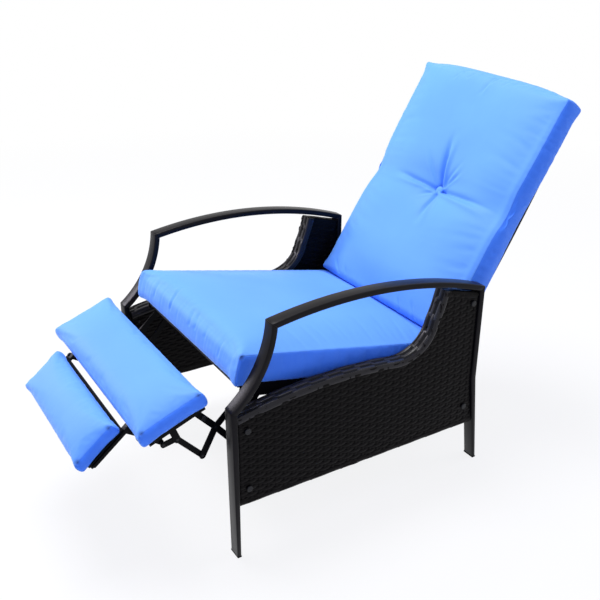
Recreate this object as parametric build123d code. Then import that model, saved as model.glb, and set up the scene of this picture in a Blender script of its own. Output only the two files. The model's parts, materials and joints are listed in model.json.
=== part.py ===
"""Reclining garden armchair with a two-panel footrest, modelled leaned back with the footrest out.

Millimetres, +Z up, the sitter faces -Y and the sitter's left is +X. The origin is on the floor
under the middle of the chair's overall box. Every side-view place below is written as (y, z)
with y = 0 at the front face of the front legs, and is moved to the origin when it is written out.
"""
import os
from math import atan2, cos, degrees, hypot, radians, sin

from build123d import *

# Overall sizes
overall_width = 680.0
origin_setback = 379.7

# Frame tube, flat oblong section, and the side frames' outline
tube_width = 35.5
tube_depth = 15.0
tube_wall = 1.6
foot_depth = 10.5
foot_taper_height = 300.0
glide_height = 4.0
glide_lip = 1.0
knee_height = 409.0
upright_bow = (75.0, 494.0)
arm_front = (108.0, 603.0)
arm_crest = (400.0, 616.5)
arm_rear = (738.0, 542.0)
rear_kick_height = 270.0
rear_kick = 29.0
mitre_allowance = 40.0

# Woven side panels
panel_outer_inset = 4.0
panel_thickness = 28.0
panel_rim_overhang = 12.0
panel_rim_depth = 22.0
panel_rim_low = 368.0
seat_mount_gap = 0.5
panel_skin = 3.0
panel_gap = 0.3
panel_bottom_front = 146.0
panel_bottom_rear = 128.0
panel_front_top = 389.0
panel_wave = (245.0, 412.0)
panel_dip = (468.0, 398.0)
panel_bend = (543.0, 418.0)
panel_rise = (580.0, 478.0)
panel_neck = (598.0, 524.0)
panel_peak = (608.0, 561.0)
panel_rear_top = 526.0
panel_frame_depth = 12.0
panel_frame_wall = 1.5

# Panel bolts with round caps, each at (y, z)
bolt_radius = 4.0
bolt_cap_radius = 8.0
bolt_cap_height = 4.0
panel_bolt_places = ((704.0, 500.0), (704.0, 190.0), (40.0, 190.0), (40.0, 350.0))

# Seat plane: the lower front edge of the cushion, and the slope down to the back
seat_front = (35.5, 444.8)
seat_slope_deg = 12.7
soft_gap = 0.3

# Seat frame
rail_section = 20.0
rail_wall = 1.5
rail_side_gap = 29.0
rail_start = 33.0
side_rail_depth = 34.0
front_rail_start = 28.0
rear_rail_start = 640.0
deck_start = 56.0
deck_end = 618.0
deck_thickness = 4.0
deck_band = 40.0
deck_band_gap = 8.0
seat_mount_places = (170.0, 540.0)
seat_mount_radius = 8.0
seat_mount_bolt_radius = 4.0
seat_bolt_head_radius = 5.5
rear_tube_height = 176.0
rear_tube_radius = 11.0

# Back hinge
hinge_point = (672.0, 375.0)
hinge_side_gap = 14.0
hinge_plate_thickness = 3.0
hinge_plate_width = 32.0
hinge_pin_radius = 5.0
back_lean_deg = 32.7
back_bracket_thickness = 4.0
back_bracket_width = 20.0
bracket_boss_radius = 8.0

# Back frame, with its places along the lean and in front of the hinge
stile_width = 22.0
stile_depth = 22.0
stile_wall = 1.5
stile_side_gap = 40.0
stile_bottom = 10.0
back_frame_drop = 49.0
stile_bow = 8.0
back_weave_thickness = 5.0
back_weave_recess = 3.0
lower_rail_up = 22.0
bracket_bolt_places = (38.0, 72.0)
lug_thickness = 4.0
lug_width = 20.0
lug_pin_point = (720.0, 305.0)

# Footrest linkage: fixed pivots, moving pivots, and the planes that the links lie in
rear_pivot = (93.0, 412.0)
control_pivot = (121.0, 392.0)
cross_pivot = (0.0, 329.0)
tail_pivot = (32.0, 288.0)
lower_pivot = (-37.0, 262.0)
front_pivot = (-96.0, 329.0)
link_thickness = 4.0
link_gap = 0.5
link_width = 16.0
slim_link_width = 14.0
hanger_thickness = 4.0
hanger_width = 26.0
hanger_foot_start = 57.0
hanger_foot_end = 138.0
hanger_foot_drop = 13.0
hanger_foot_width = 16.0
pin_radius = 3.5
eye_radius = 9.0
pin_head_radius = 6.5
pin_head_height = 2.0
running_clearance = 0.05
head_clearance = 0.15
open_pivot_play = 1.6
stop_rivet_share = 0.48
torque_tube_radius = 7.0
torque_tube_wall = 2.0
crank_inset = 20.0
crank_point = (87.45, 398.76)
push_rod_width = 12.0
push_rod_bends = ((560.0, 290.0), (675.0, 240.0))

# Footrest frame and cushions, with places along the board and along its normal
footrest_corner = (-47.0, 460.0)
footrest_slope_deg = 20.0
footrest_board_inset = 15.0
footrest_board_start = 6.0
footrest_board_end = 152.0
footrest_board_thickness = 4.5
footrest_rail_width = 20.0
footrest_rail_height = 17.0
flipper_hinge = (157.4, -64.0)
flipper_corner = (-228.0, 388.0)
flipper_slope_deg = 38.8
flipper_board_start = -4.0
flipper_board_end = 106.0
flipper_board_thickness = 4.5
flipper_bar_width = 14.0
flipper_bar_height = 8.0
flipper_bar_start = -18.0
flipper_bar_end = 104.0
flipper_arm_thickness = 5.0
flipper_rod_radius = 5.0
flipper_hanger_inset = 24.0
flipper_side_gap = 18.0
flipper_hanger_foot = 34.0
flipper_link_width = 13.0
flipper_crank_length = 12.0
flipper_crank_angle_deg = 98.0
drive_point = (-128.4, 323.4)

# Cushions: seam-to-seam sizes, crowns, drawn-in sides and corner radii
cushion_side_gap = 18.0
seat_cushion_band = 75.0
seat_cushion_crown = 25.0
seat_past_hinge = 4.0
seat_tail_length = 36.0
seat_tail_ramp = 18.0
seat_tail_drop = 3.0
back_cushion_length = 692.0
back_cushion_start = 5.0
back_cushion_seam_front = 31.3
back_cushion_band = 88.0
back_cushion_top_band = 68.0
back_cushion_crown = 24.0
back_top_arch = 14.0
footrest_side_gap = 6.5
footrest_cushion_depth = 163.0
footrest_cushion_band = 40.0
footrest_cushion_crown = 13.0
flipper_cushion_overhang = 3.0
flipper_cushion_depth = 118.0
flipper_cushion_band = 34.0
flipper_cushion_crown = 11.0
cushion_corner = 22.0
side_draw = 5.0
band_bulge = 3.0
button_radius = 13.0
button_thickness = 7.0
button_up = 362.0
button_side = 12.0
tuft_radius = 105.0
tuft_depth = 42.0

# Cuts run past the faces that they open by this much
overrun = 2.0

# Shares that shape the cushions' crowns, from the seam to the flat middle
crown_run_shares = (0.0, 0.1, 0.32, 0.62, 1.0)
crown_rise_shares = (0.0, 0.42, 0.74, 0.93, 1.0)
crown_reach_share = 0.42

half_width = overall_width / 2
inner_x = half_width - tube_width
panel_outer_x = half_width - panel_outer_inset
panel_inner_x = panel_outer_x - panel_thickness
rail_outer_x = panel_inner_x - rail_side_gap
rail_inner_x = rail_outer_x - rail_section
hinge_plate_x = panel_inner_x - hinge_side_gap - hinge_plate_thickness
stile_outer_x = hinge_plate_x - stile_side_gap
stile_top = back_cushion_start + back_cushion_length - back_frame_drop
hanger_x = rail_inner_x - hanger_thickness
link_plane_outer = hanger_x - link_gap - link_thickness
link_plane_inner = link_plane_outer - link_gap - link_thickness
footrest_rail_x = link_plane_outer + link_thickness
crank_x = link_plane_inner - crank_inset
lug_x = crank_x
flipper_hanger_x = link_plane_inner - flipper_hanger_inset
flipper_crank_x = flipper_hanger_x + link_thickness + link_gap
flipper_link_x = flipper_crank_x + link_thickness + link_gap
seat_cushion_width = 2 * (panel_inner_x - cushion_side_gap - band_bulge)
back_cushion_width = seat_cushion_width
footrest_cushion_width = 2 * (inner_x - footrest_side_gap - band_bulge)
footrest_board_width = footrest_cushion_width - 2 * footrest_board_inset
flipper_board_width = 2 * (flipper_hanger_x - flipper_side_gap - flipper_arm_thickness)
flipper_cushion_width = flipper_board_width + 2 * flipper_cushion_overhang
rear_face = arm_rear[0]


def turned(vector, angle_deg):
    """A (y, z) vector turned anticlockwise as seen with +Y to the right and +Z up."""
    c, s = cos(radians(angle_deg)), sin(radians(angle_deg))
    return (vector[0] * c - vector[1] * s, vector[0] * s + vector[1] * c)


def along(origin, first, a, second, b):
    """The point a along one direction and b along another, from an origin."""
    return (origin[0] + first[0] * a + second[0] * b, origin[1] + first[1] * a + second[1] * b)


seat_run = turned((1, 0), -seat_slope_deg)
seat_up = turned((0, 1), -seat_slope_deg)
hinge_back = hinge_point[0] - seat_front[0]
hinge_rise = hinge_point[1] - seat_front[1]
seat_cushion_depth = hinge_back * seat_run[0] + hinge_rise * seat_run[1] + seat_past_hinge
back_up = turned((0, 1), -back_lean_deg)
back_forward = turned((-1, 0), -back_lean_deg)
board_out = turned((-1, 0), footrest_slope_deg)
board_up = turned((0, 1), footrest_slope_deg)
flipper_out = turned((-1, 0), flipper_slope_deg)
flipper_up = turned((0, 1), flipper_slope_deg)


def on_seat(run, rise):
    return along(seat_front, seat_run, run, seat_up, rise)


def on_back(up, forward):
    return along(hinge_point, back_up, up, back_forward, forward)


def on_footrest(out, rise):
    return along(footrest_corner, board_out, out, board_up, rise)


def on_flipper(out, rise):
    return along(flipper_corner, flipper_out, out, flipper_up, rise)


top_pivot = (cross_pivot[0] + front_pivot[0] - lower_pivot[0], cross_pivot[1] + front_pivot[1] - lower_pivot[1])
flipper_hinge_point = on_footrest(*flipper_hinge)
crank_arm = turned((flipper_crank_length, 0), flipper_crank_angle_deg)
flipper_crank_point = (flipper_hinge_point[0] + crank_arm[0], flipper_hinge_point[1] + crank_arm[1])


def side_plate(face, x_low, thickness):
    """A face drawn in (y, z), as a plate from x_low outwards."""
    return extrude(Plane.YZ.offset(x_low) * face, thickness)


def outline(*edges):
    return make_face(Wire(list(edges)))


def polygon(*points):
    return make_face(Polyline(*points, close=True))


def slot(a, b, width):
    """A bar with round ends between two points."""
    middle = Pos((a[0] + b[0]) / 2, (a[1] + b[1]) / 2)
    turn = Rot(0, 0, degrees(atan2(b[1] - a[1], b[0] - a[0])))
    return middle * turn * SlotCenterToCenter(hypot(b[0] - a[0], b[1] - a[1]), width)


def hole(point, radius):
    return Pos(*point) * Circle(radius)


def rod(point, radius, x_low, x_high):
    """A round bar along X through a (y, z) point."""
    return side_plate(hole(point, radius), x_low, x_high - x_low)


def long_bar(start, end, directions, x_low, width, wall):
    """A rectangular tube along X-parallel planes, from its two (run, rise) corners."""
    low, high = start, end
    corners = (low, (high[0], low[1]), high, (low[0], high[1]))
    bar = side_plate(polygon(*[directions(*c) for c in corners]), x_low, width)
    inner = ((low[0] - overrun, low[1] + wall), (high[0] + overrun, high[1] - wall))
    cut_corners = (inner[0], (inner[1][0], inner[0][1]), inner[1], (inner[0][0], inner[1][1]))
    return bar - side_plate(polygon(*[directions(*c) for c in cut_corners]), x_low + wall, width - 2 * wall)


def cross_bar(start, end, directions, x_half, wall):
    """A rectangular tube across the chair, open at its ends."""
    corners = (start, (end[0], start[1]), end, (start[0], end[1]))
    bar = side_plate(polygon(*[directions(*c) for c in corners]), -x_half, 2 * x_half)
    low, high = (start[0] + wall, start[1] + wall), (end[0] - wall, end[1] - wall)
    inner = (low, (high[0], low[1]), high, (low[0], high[1]))
    return bar - side_plate(polygon(*[directions(*c) for c in inner]), -x_half - overrun, 2 * (x_half + overrun))


def pin(point, x_low, x_high, heads=(True, True)):
    """A rivet along X, with a head past either end that asks for one."""
    shape = rod(point, pin_radius, x_low, x_high)
    if heads[0]:
        shape += rod(point, pin_head_radius, x_low - pin_head_height, x_low)
    if heads[1]:
        shape += rod(point, pin_head_radius, x_high, x_high + pin_head_height)
    return shape


def mirrored(shape):
    return mirror(shape, about=Plane.YZ)


def both(*shapes):
    """The same solids on both sides of the chair, as one group."""
    return Compound([s for shape in shapes for s in (*shape.solids(), *mirrored(shape).solids())])


parts = {}


def add(name, shape):
    parts[name] = shape


def add_pair(name, shape):
    """A left piece as drawn at +X, and its mirror image on the right, each with its own name."""
    parts["left_" + name] = shape
    parts["right_" + name] = mirrored(shape)


def add_both(name, shape):
    """Two small like pieces, left and right, under one name."""
    parts[name] = both(shape)


def mitre_plane(point, first, second):
    """The plane along X through a corner that halves the angle between two path directions."""
    halfway = degrees(atan2(first[1] + second[1], first[0] + second[0]))
    normal = (0, cos(radians(halfway)), sin(radians(halfway)))
    return Plane(origin=(0, *point), z_dir=normal)


def tube_from(face, inner_face):
    solid = side_plate(face, inner_x, tube_width)
    return solid - side_plate(inner_face, inner_x + tube_wall, tube_width - 2 * tube_wall)


def arc_centre(a, b, c):
    """Centre and radius of the circle through three (y, z) points."""
    d = 2 * (a[0] * (b[1] - c[1]) + b[0] * (c[1] - a[1]) + c[0] * (a[1] - b[1]))
    squares = [p[0] ** 2 + p[1] ** 2 for p in (a, b, c)]
    y = (squares[0] * (b[1] - c[1]) + squares[1] * (c[1] - a[1]) + squares[2] * (a[1] - b[1])) / d
    z = (squares[0] * (c[0] - b[0]) + squares[1] * (a[0] - c[0]) + squares[2] * (b[0] - a[0])) / d
    return (y, z), hypot(a[0] - y, a[1] - z)


def arc_band(a, b, c, inset, outset):
    """A band along the arc through three points, past both ends, from inset to outset."""
    centre, radius = arc_centre(a, b, c)
    start = degrees(atan2(a[1] - centre[1], a[0] - centre[0]))
    end = degrees(atan2(c[1] - centre[1], c[0] - centre[0]))
    allowance = degrees(mitre_allowance / radius)
    grow = allowance if end > start else -allowance
    start, end = start - grow, end + grow
    near, far = radius + inset, radius + outset
    first, middle, last = start, (start + end) / 2, end

    def at(r, angle):
        return (centre[0] + r * cos(radians(angle)), centre[1] + r * sin(radians(angle)))

    return outline(
        ThreePointArc(at(far, first), at(far, middle), at(far, last)),
        Line(at(far, last), at(near, last)),
        ThreePointArc(at(near, last), at(near, middle), at(near, first)),
        Line(at(near, first), at(far, first)),
    )


def arc_direction(a, b, c, point):
    """The direction of travel along the arc through three points, at one of them."""
    centre, radius = arc_centre(a, b, c)
    side = (b[0] - a[0]) * (c[1] - b[1]) - (b[1] - a[1]) * (c[0] - b[0])
    spoke = ((point[0] - centre[0]) / radius, (point[1] - centre[1]) / radius)
    return (-spoke[1], spoke[0]) if side > 0 else (spoke[1], -spoke[0])


def keep_side(shape, plane, forward):
    return split(shape, bisect_by=plane, keep=Keep.TOP if forward else Keep.BOTTOM)


def build_side_frames():
    knee = (0.0, knee_height)
    leg_way = (0.0, 1.0)
    knee_way = arc_direction(knee, upright_bow, arm_front, knee)
    upright_end_way = arc_direction(knee, upright_bow, arm_front, arm_front)
    arm_way = arc_direction(arm_front, arm_crest, arm_rear, arm_front)
    arm_end_way = arc_direction(arm_front, arm_crest, arm_rear, arm_rear)
    knee_plane = mitre_plane(knee, leg_way, knee_way)
    corner_plane = mitre_plane(arm_front, upright_end_way, arm_way)
    rear_plane = mitre_plane(arm_rear, arm_end_way, (0.0, -1.0))

    def front_leg_face(wall):
        low = glide_height - (overrun if wall else 0)
        top = knee_height + mitre_allowance
        return polygon(
            (wall, low), (foot_depth - wall, low), (tube_depth - wall, foot_taper_height),
            (tube_depth - wall, top), (wall, top),
        )

    leg = keep_side(tube_from(front_leg_face(0), front_leg_face(tube_wall)), knee_plane, False)
    add_pair("front_leg", leg)

    def upright_face(wall):
        return arc_band(knee, upright_bow, arm_front, wall, tube_depth - wall)

    upright = keep_side(tube_from(upright_face(0), upright_face(tube_wall)), knee_plane, True)
    add_pair("front_upright", keep_side(upright, corner_plane, False))

    def arm_face(wall):
        return arc_band(arm_front, arm_crest, arm_rear, -tube_depth + wall, -wall)

    arm = keep_side(tube_from(arm_face(0), arm_face(tube_wall)), corner_plane, True)
    add_pair("arm", keep_side(arm, rear_plane, False))

    def rear_leg_face(wall):
        low = glide_height - (overrun if wall else 0)
        back = rear_face - wall
        front = rear_face - tube_depth + wall
        foot = rear_face + rear_kick
        top = arm_rear[1] + mitre_allowance
        return polygon(
            (front, top), (back, top), (back, rear_kick_height),
            (foot - wall, low), (foot - foot_depth + wall, low), (front, rear_kick_height),
        )

    rear_leg = keep_side(tube_from(rear_leg_face(0), rear_leg_face(tube_wall)), rear_plane, True)
    add_pair("rear_leg", rear_leg)

    glides = []
    for y in (0.0, rear_face + rear_kick - foot_depth):
        pad = side_plate(polygon((y, 0), (y + foot_depth, 0), (y + foot_depth, glide_height), (y, glide_height)),
                         inner_x, tube_width)
        plug_depth = foot_depth - 2 * (tube_wall + glide_lip)
        middle = y + foot_depth / 2
        plug_top = glide_height + plug_depth
        plug = side_plate(
            polygon((middle - plug_depth / 2, glide_height), (middle + plug_depth / 2, glide_height),
                    (middle + plug_depth / 2, plug_top), (middle - plug_depth / 2, plug_top)),
            inner_x + tube_wall + glide_lip, tube_width - 2 * (tube_wall + glide_lip))
        glides.append(pad + plug)
    add("foot_glides", both(*glides))


def panel_face(inset):
    """The outline of a side panel, drawn in from its edge by an inset."""
    def leg_edge(z):
        share = min(z / foot_taper_height, 1.0)
        return foot_depth + (tube_depth - foot_depth) * share + panel_gap

    def rear_edge(z):
        share = max(0.0, 1 - z / rear_kick_height)
        return rear_face - tube_depth + (rear_kick - foot_depth + tube_depth) * share - panel_gap

    shape = outline(
        Line((leg_edge(panel_bottom_front), panel_bottom_front), (leg_edge(foot_taper_height), foot_taper_height)),
        Line((leg_edge(foot_taper_height), foot_taper_height), (leg_edge(panel_front_top), panel_front_top)),
        ThreePointArc((leg_edge(panel_front_top), panel_front_top), panel_wave, panel_dip),
        ThreePointArc(panel_dip, panel_bend, panel_rise),
        ThreePointArc(panel_rise, panel_neck, panel_peak),
        Line(panel_peak, (rear_edge(panel_rear_top), panel_rear_top)),
        Line((rear_edge(panel_rear_top), panel_rear_top), (rear_edge(rear_kick_height), rear_kick_height)),
        Line((rear_edge(rear_kick_height), rear_kick_height), (rear_edge(panel_bottom_rear), panel_bottom_rear)),
        Line((rear_edge(panel_bottom_rear), panel_bottom_rear), (leg_edge(panel_bottom_front), panel_bottom_front)),
    )
    return offset(shape, amount=-inset, kind=Kind.INTERSECTION) if inset else shape


def build_panels():
    frame_width = panel_thickness - 2 * panel_skin
    skin = side_plate(panel_face(0), panel_inner_x, panel_thickness)
    rim_rear = panel_peak[0] + overrun
    rim_top = panel_peak[1] + overrun
    upper = polygon((0, panel_rim_low), (rim_rear, panel_rim_low), (rim_rear, rim_top), (0, rim_top))
    rim = (panel_face(0) - panel_face(panel_rim_depth)) & upper
    rim = side_plate(rim, panel_inner_x - panel_rim_overhang, panel_rim_overhang)
    for run in seat_mount_places:
        place = on_seat(run, -soft_gap - rail_section / 2)
        rim -= rod(place, seat_mount_radius + seat_mount_gap, panel_inner_x - 2 * panel_rim_overhang, panel_inner_x)
    skin += rim
    skin -= side_plate(panel_face(panel_skin), panel_inner_x + panel_skin, frame_width)
    frame = side_plate(panel_face(panel_skin) - panel_face(panel_skin + panel_frame_depth),
                       panel_inner_x + panel_skin, frame_width)
    for place in panel_bolt_places:
        skin -= rod(place, bolt_radius, panel_inner_x - overrun, panel_outer_x + overrun)
        frame -= rod(place, bolt_radius, panel_inner_x, panel_outer_x)
    add_pair("side_panel", skin)
    add_both("panel_frames", frame)
    bolts = []
    for place in panel_bolt_places:
        shank = rod(place, bolt_radius, panel_inner_x, panel_outer_x)
        cap = rod(place, bolt_cap_radius, panel_outer_x, panel_outer_x + bolt_cap_height)
        cap = fillet(cap.edges().filter_by(GeomType.CIRCLE).sort_by(Axis.X)[-1], bolt_cap_height / 2)
        bolts.append(shank + cap)
    add("panel_bolts", both(*bolts))


def build_seat_frame():
    top, low = -soft_gap, -soft_gap - rail_section
    side_low = top - side_rail_depth
    side = long_bar((rail_start, side_low), (rear_rail_start, top), on_seat, rail_inner_x, rail_section, rail_wall)
    mounts = []
    for run in seat_mount_places:
        place = on_seat(run, (top + low) / 2)
        side -= rod(place, seat_mount_bolt_radius, rail_inner_x - overrun, rail_outer_x + overrun)
        spacer = rod(place, seat_mount_radius, rail_outer_x, panel_inner_x)
        mounts.append(spacer - rod(place, seat_mount_bolt_radius, rail_outer_x, panel_inner_x))
    add_both("seat_rails", side)
    add("seat_spacers", both(*mounts))
    bolts = []
    for run in seat_mount_places:
        place = on_seat(run, (top + low) / 2)
        bolt = rod(place, seat_mount_bolt_radius, rail_inner_x, panel_inner_x)
        bolts.append(bolt + rod(place, seat_bolt_head_radius, rail_inner_x - pin_head_height, rail_inner_x))
    add("seat_bolts", both(*bolts))
    add("seat_front_rail", cross_bar((front_rail_start, low), (front_rail_start + rail_section, top),
                                     on_seat, rail_inner_x, rail_wall))
    add("seat_rear_rail", cross_bar((rear_rail_start, low), (rear_rail_start + rail_section, top),
                                    on_seat, hinge_plate_x, rail_wall))
    straps = []
    run = deck_start
    while run + deck_band <= deck_end:
        corners = ((run, top - deck_thickness), (run + deck_band, top - deck_thickness),
                   (run + deck_band, top), (run, top))
        straps.append(side_plate(polygon(*[on_seat(*c) for c in corners]), -rail_inner_x, 2 * rail_inner_x))
        run += deck_band + deck_band_gap
    add("seat_straps", Compound([s for strap in straps for s in strap.solids()]))
    tube = rod((rear_face - tube_depth / 2 + rear_kick * (1 - rear_tube_height / rear_kick_height), rear_tube_height),
               rear_tube_radius, -inner_x, inner_x)
    add("rear_cross_tube", tube)


def build_hinge():
    rail_point = on_seat(rear_rail_start + rail_section / 2, -soft_gap - rail_section / 2)
    plate = side_plate(slot(rail_point, hinge_point, hinge_plate_width), hinge_plate_x, hinge_plate_thickness)
    plate -= rod(hinge_point, hinge_pin_radius, hinge_plate_x - overrun, hinge_plate_x + 2 * hinge_plate_thickness)
    add_both("hinge_plates", plate)
    bracket_x = hinge_plate_x + hinge_plate_thickness + link_gap
    outer_x = bracket_x + back_bracket_thickness + head_clearance
    hinge_pin = rod(hinge_point, hinge_pin_radius, hinge_plate_x, outer_x)
    hinge_pin += rod(hinge_point, hinge_pin_radius + pin_head_height, outer_x, outer_x + pin_head_height)
    add("back_hinge_pins", both(hinge_pin))

    bolt_points = [on_back(up, -back_depth_at(up) - stile_depth / 2) for up in bracket_bolt_places]
    face = slot(hinge_point, bolt_points[0], back_bracket_width) + slot(*bolt_points, back_bracket_width)
    bracket = side_plate(face, bracket_x, back_bracket_thickness)
    for point in bolt_points:
        bracket += rod(point, bracket_boss_radius, stile_outer_x, bracket_x)
    bracket -= rod(hinge_point, hinge_pin_radius + running_clearance, bracket_x - overrun, outer_x + overrun)
    add_both("back_brackets", bracket)


def back_depth_at(up):
    """How far behind the hinge line the front of the bowed back frame lies at a height."""
    middle = (stile_bottom + stile_top) / 2
    reach = (stile_top - stile_bottom) / 2
    share = (up - back_cushion_start) / back_cushion_length
    band = back_cushion_band + (back_cushion_top_band - back_cushion_band) * share
    return band - back_cushion_seam_front + soft_gap + stile_bow * (1 - ((up - middle) / reach) ** 2)


def bowed_face(front_step, depth, bottom, top):
    """A band that follows the bowed back frame."""
    middle = (bottom + top) / 2

    def at(up, step):
        return on_back(up, -back_depth_at(up) - step)

    return outline(
        ThreePointArc(at(bottom, front_step), at(middle, front_step), at(top, front_step)),
        Line(at(top, front_step), at(top, front_step + depth)),
        ThreePointArc(at(top, front_step + depth), at(middle, front_step + depth), at(bottom, front_step + depth)),
        Line(at(bottom, front_step + depth), at(bottom, front_step)),
    )


def build_back_frame():
    stile = side_plate(bowed_face(0, stile_depth, stile_bottom, stile_top), stile_outer_x - stile_width, stile_width)
    stile -= side_plate(
        bowed_face(stile_wall, stile_depth - 2 * stile_wall, stile_bottom + stile_wall, stile_top - stile_wall),
        stile_outer_x - stile_width + stile_wall, stile_width - 2 * stile_wall)
    add_both("back_stiles", stile)
    inner = stile_outer_x - stile_width
    low_rail = bowed_face(0, stile_depth, lower_rail_up, lower_rail_up + stile_width)
    top_rail = bowed_face(0, stile_depth, stile_top - stile_width, stile_top)
    for name, face in (("back_lower_rail", low_rail), ("back_top_rail", top_rail)):
        add(name, side_plate(face, -inner, 2 * inner))
    weave = bowed_face(back_weave_recess, back_weave_thickness, lower_rail_up + stile_width, stile_top - stile_width)
    add("back_weave", side_plate(weave, -inner, 2 * inner))
    rail_point = on_back(lower_rail_up + stile_width / 2, -back_depth_at(lower_rail_up) - stile_depth)
    lug = side_plate(slot(lug_pin_point, rail_point, lug_width), lug_x, lug_thickness)
    lug -= side_plate(bowed_face(0, stile_depth, lower_rail_up - stile_width, stile_top), lug_x - overrun,
                      lug_thickness + 2 * overrun)
    lug = lug.solids().sort_by(SortBy.VOLUME)[-1]
    lug -= rod(lug_pin_point, pin_radius, lug_x - overrun, lug_x + lug_thickness + overrun)
    add_both("back_lugs", lug)
    rod_x = lug_x - link_gap - link_thickness
    add("push_rod_pins", both(pin(lug_pin_point, rod_x - head_clearance, lug_x + lug_thickness)))
    face = slot(crank_point, push_rod_bends[0], push_rod_width) + slot(*push_rod_bends, push_rod_width)
    face += slot(push_rod_bends[1], lug_pin_point, push_rod_width)
    face -= hole(lug_pin_point, pin_radius + running_clearance)
    face -= hole(crank_point, pin_radius + open_pivot_play)
    add_both("push_rods", side_plate(face, rod_x, link_thickness))


def bar_link(points, width, x_low, pin_holes=(), running_holes=(), open_holes=()):
    face = slot(points[0], points[1], width)
    for a, b in zip(points[1:], points[2:]):
        face += slot(a, b, width)
    for point in pin_holes:
        face -= hole(point, pin_radius)
    for point in running_holes:
        face -= hole(point, pin_radius + running_clearance)
    for point in open_holes:
        face -= hole(point, pin_radius + open_pivot_play)
    return side_plate(face, x_low, link_thickness)


def build_linkage():
    hanger = slot(rear_pivot, control_pivot, hanger_width)
    hanger += slot(on_seat(hanger_foot_start, -hanger_foot_drop), on_seat(hanger_foot_end, -hanger_foot_drop),
                   hanger_foot_width)
    hanger -= hole(rear_pivot, pin_radius) + hole(control_pivot, pin_radius)
    add_both("link_hangers", side_plate(hanger, hanger_x, hanger_thickness))
    inner_face = link_plane_outer - head_clearance
    add("hanger_pins", both(pin(control_pivot, inner_face, hanger_x + hanger_thickness, (True, False)),
                            rod(rear_pivot, pin_radius, link_plane_outer, hanger_x + hanger_thickness)))

    add_both("rear_links", bar_link((rear_pivot, cross_pivot, lower_pivot), link_width, link_plane_outer,
                                   pin_holes=(cross_pivot, lower_pivot), running_holes=(rear_pivot,)))
    inner_head = link_plane_inner - head_clearance
    outer_face = link_plane_outer + link_thickness
    add("rear_link_pins", both(pin(cross_pivot, inner_head, outer_face, (True, False)),
                               pin(lower_pivot, inner_head, outer_face, (True, False))))
    tube = rod(rear_pivot, torque_tube_radius, -link_plane_outer, link_plane_outer)
    tube -= rod(rear_pivot, torque_tube_radius - torque_tube_wall, -link_plane_outer - overrun,
                link_plane_outer + overrun)
    add("torque_tube", tube)
    crank = slot(rear_pivot, crank_point, slim_link_width) + hole(rear_pivot, torque_tube_radius + link_thickness)
    crank -= hole(rear_pivot, torque_tube_radius) + hole(crank_point, pin_radius)
    add_both("torque_cranks", side_plate(crank, crank_x, link_thickness))
    rod_x = lug_x - link_gap - link_thickness
    add("crank_pins", both(pin(crank_point, rod_x - head_clearance, crank_x + link_thickness)))

    add_both("lift_links", bar_link((top_pivot, cross_pivot, tail_pivot), link_width, link_plane_inner,
                                   pin_holes=(top_pivot, tail_pivot), running_holes=(cross_pivot,)))
    outer_head = outer_face + head_clearance
    stop_point = along(cross_pivot, (top_pivot[0] - cross_pivot[0], top_pivot[1] - cross_pivot[1]),
                       stop_rivet_share, (0, 0), 0)
    lift_pins = [pin(top_pivot, link_plane_inner, outer_face, (True, False)),
                 rod(tail_pivot, pin_radius, link_plane_inner, outer_face),
                 rod(stop_point, pin_head_radius, link_plane_inner + link_thickness, outer_face)]
    add("lift_link_pins", both(*lift_pins))

    add_both("control_links", bar_link((control_pivot, tail_pivot), slim_link_width, link_plane_outer,
                                      running_holes=(control_pivot,), open_holes=(tail_pivot,)))

    add_both("front_links", bar_link((lower_pivot, front_pivot, drive_point), slim_link_width, link_plane_inner,
                                    pin_holes=(front_pivot, drive_point), running_holes=(lower_pivot,)))
    front_pins = [pin(front_pivot, link_plane_inner, outer_head, (True, False)),
                  pin(drive_point, flipper_link_x - head_clearance, link_plane_inner + link_thickness, (True, False))]
    add("front_link_pins", both(*front_pins))


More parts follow.
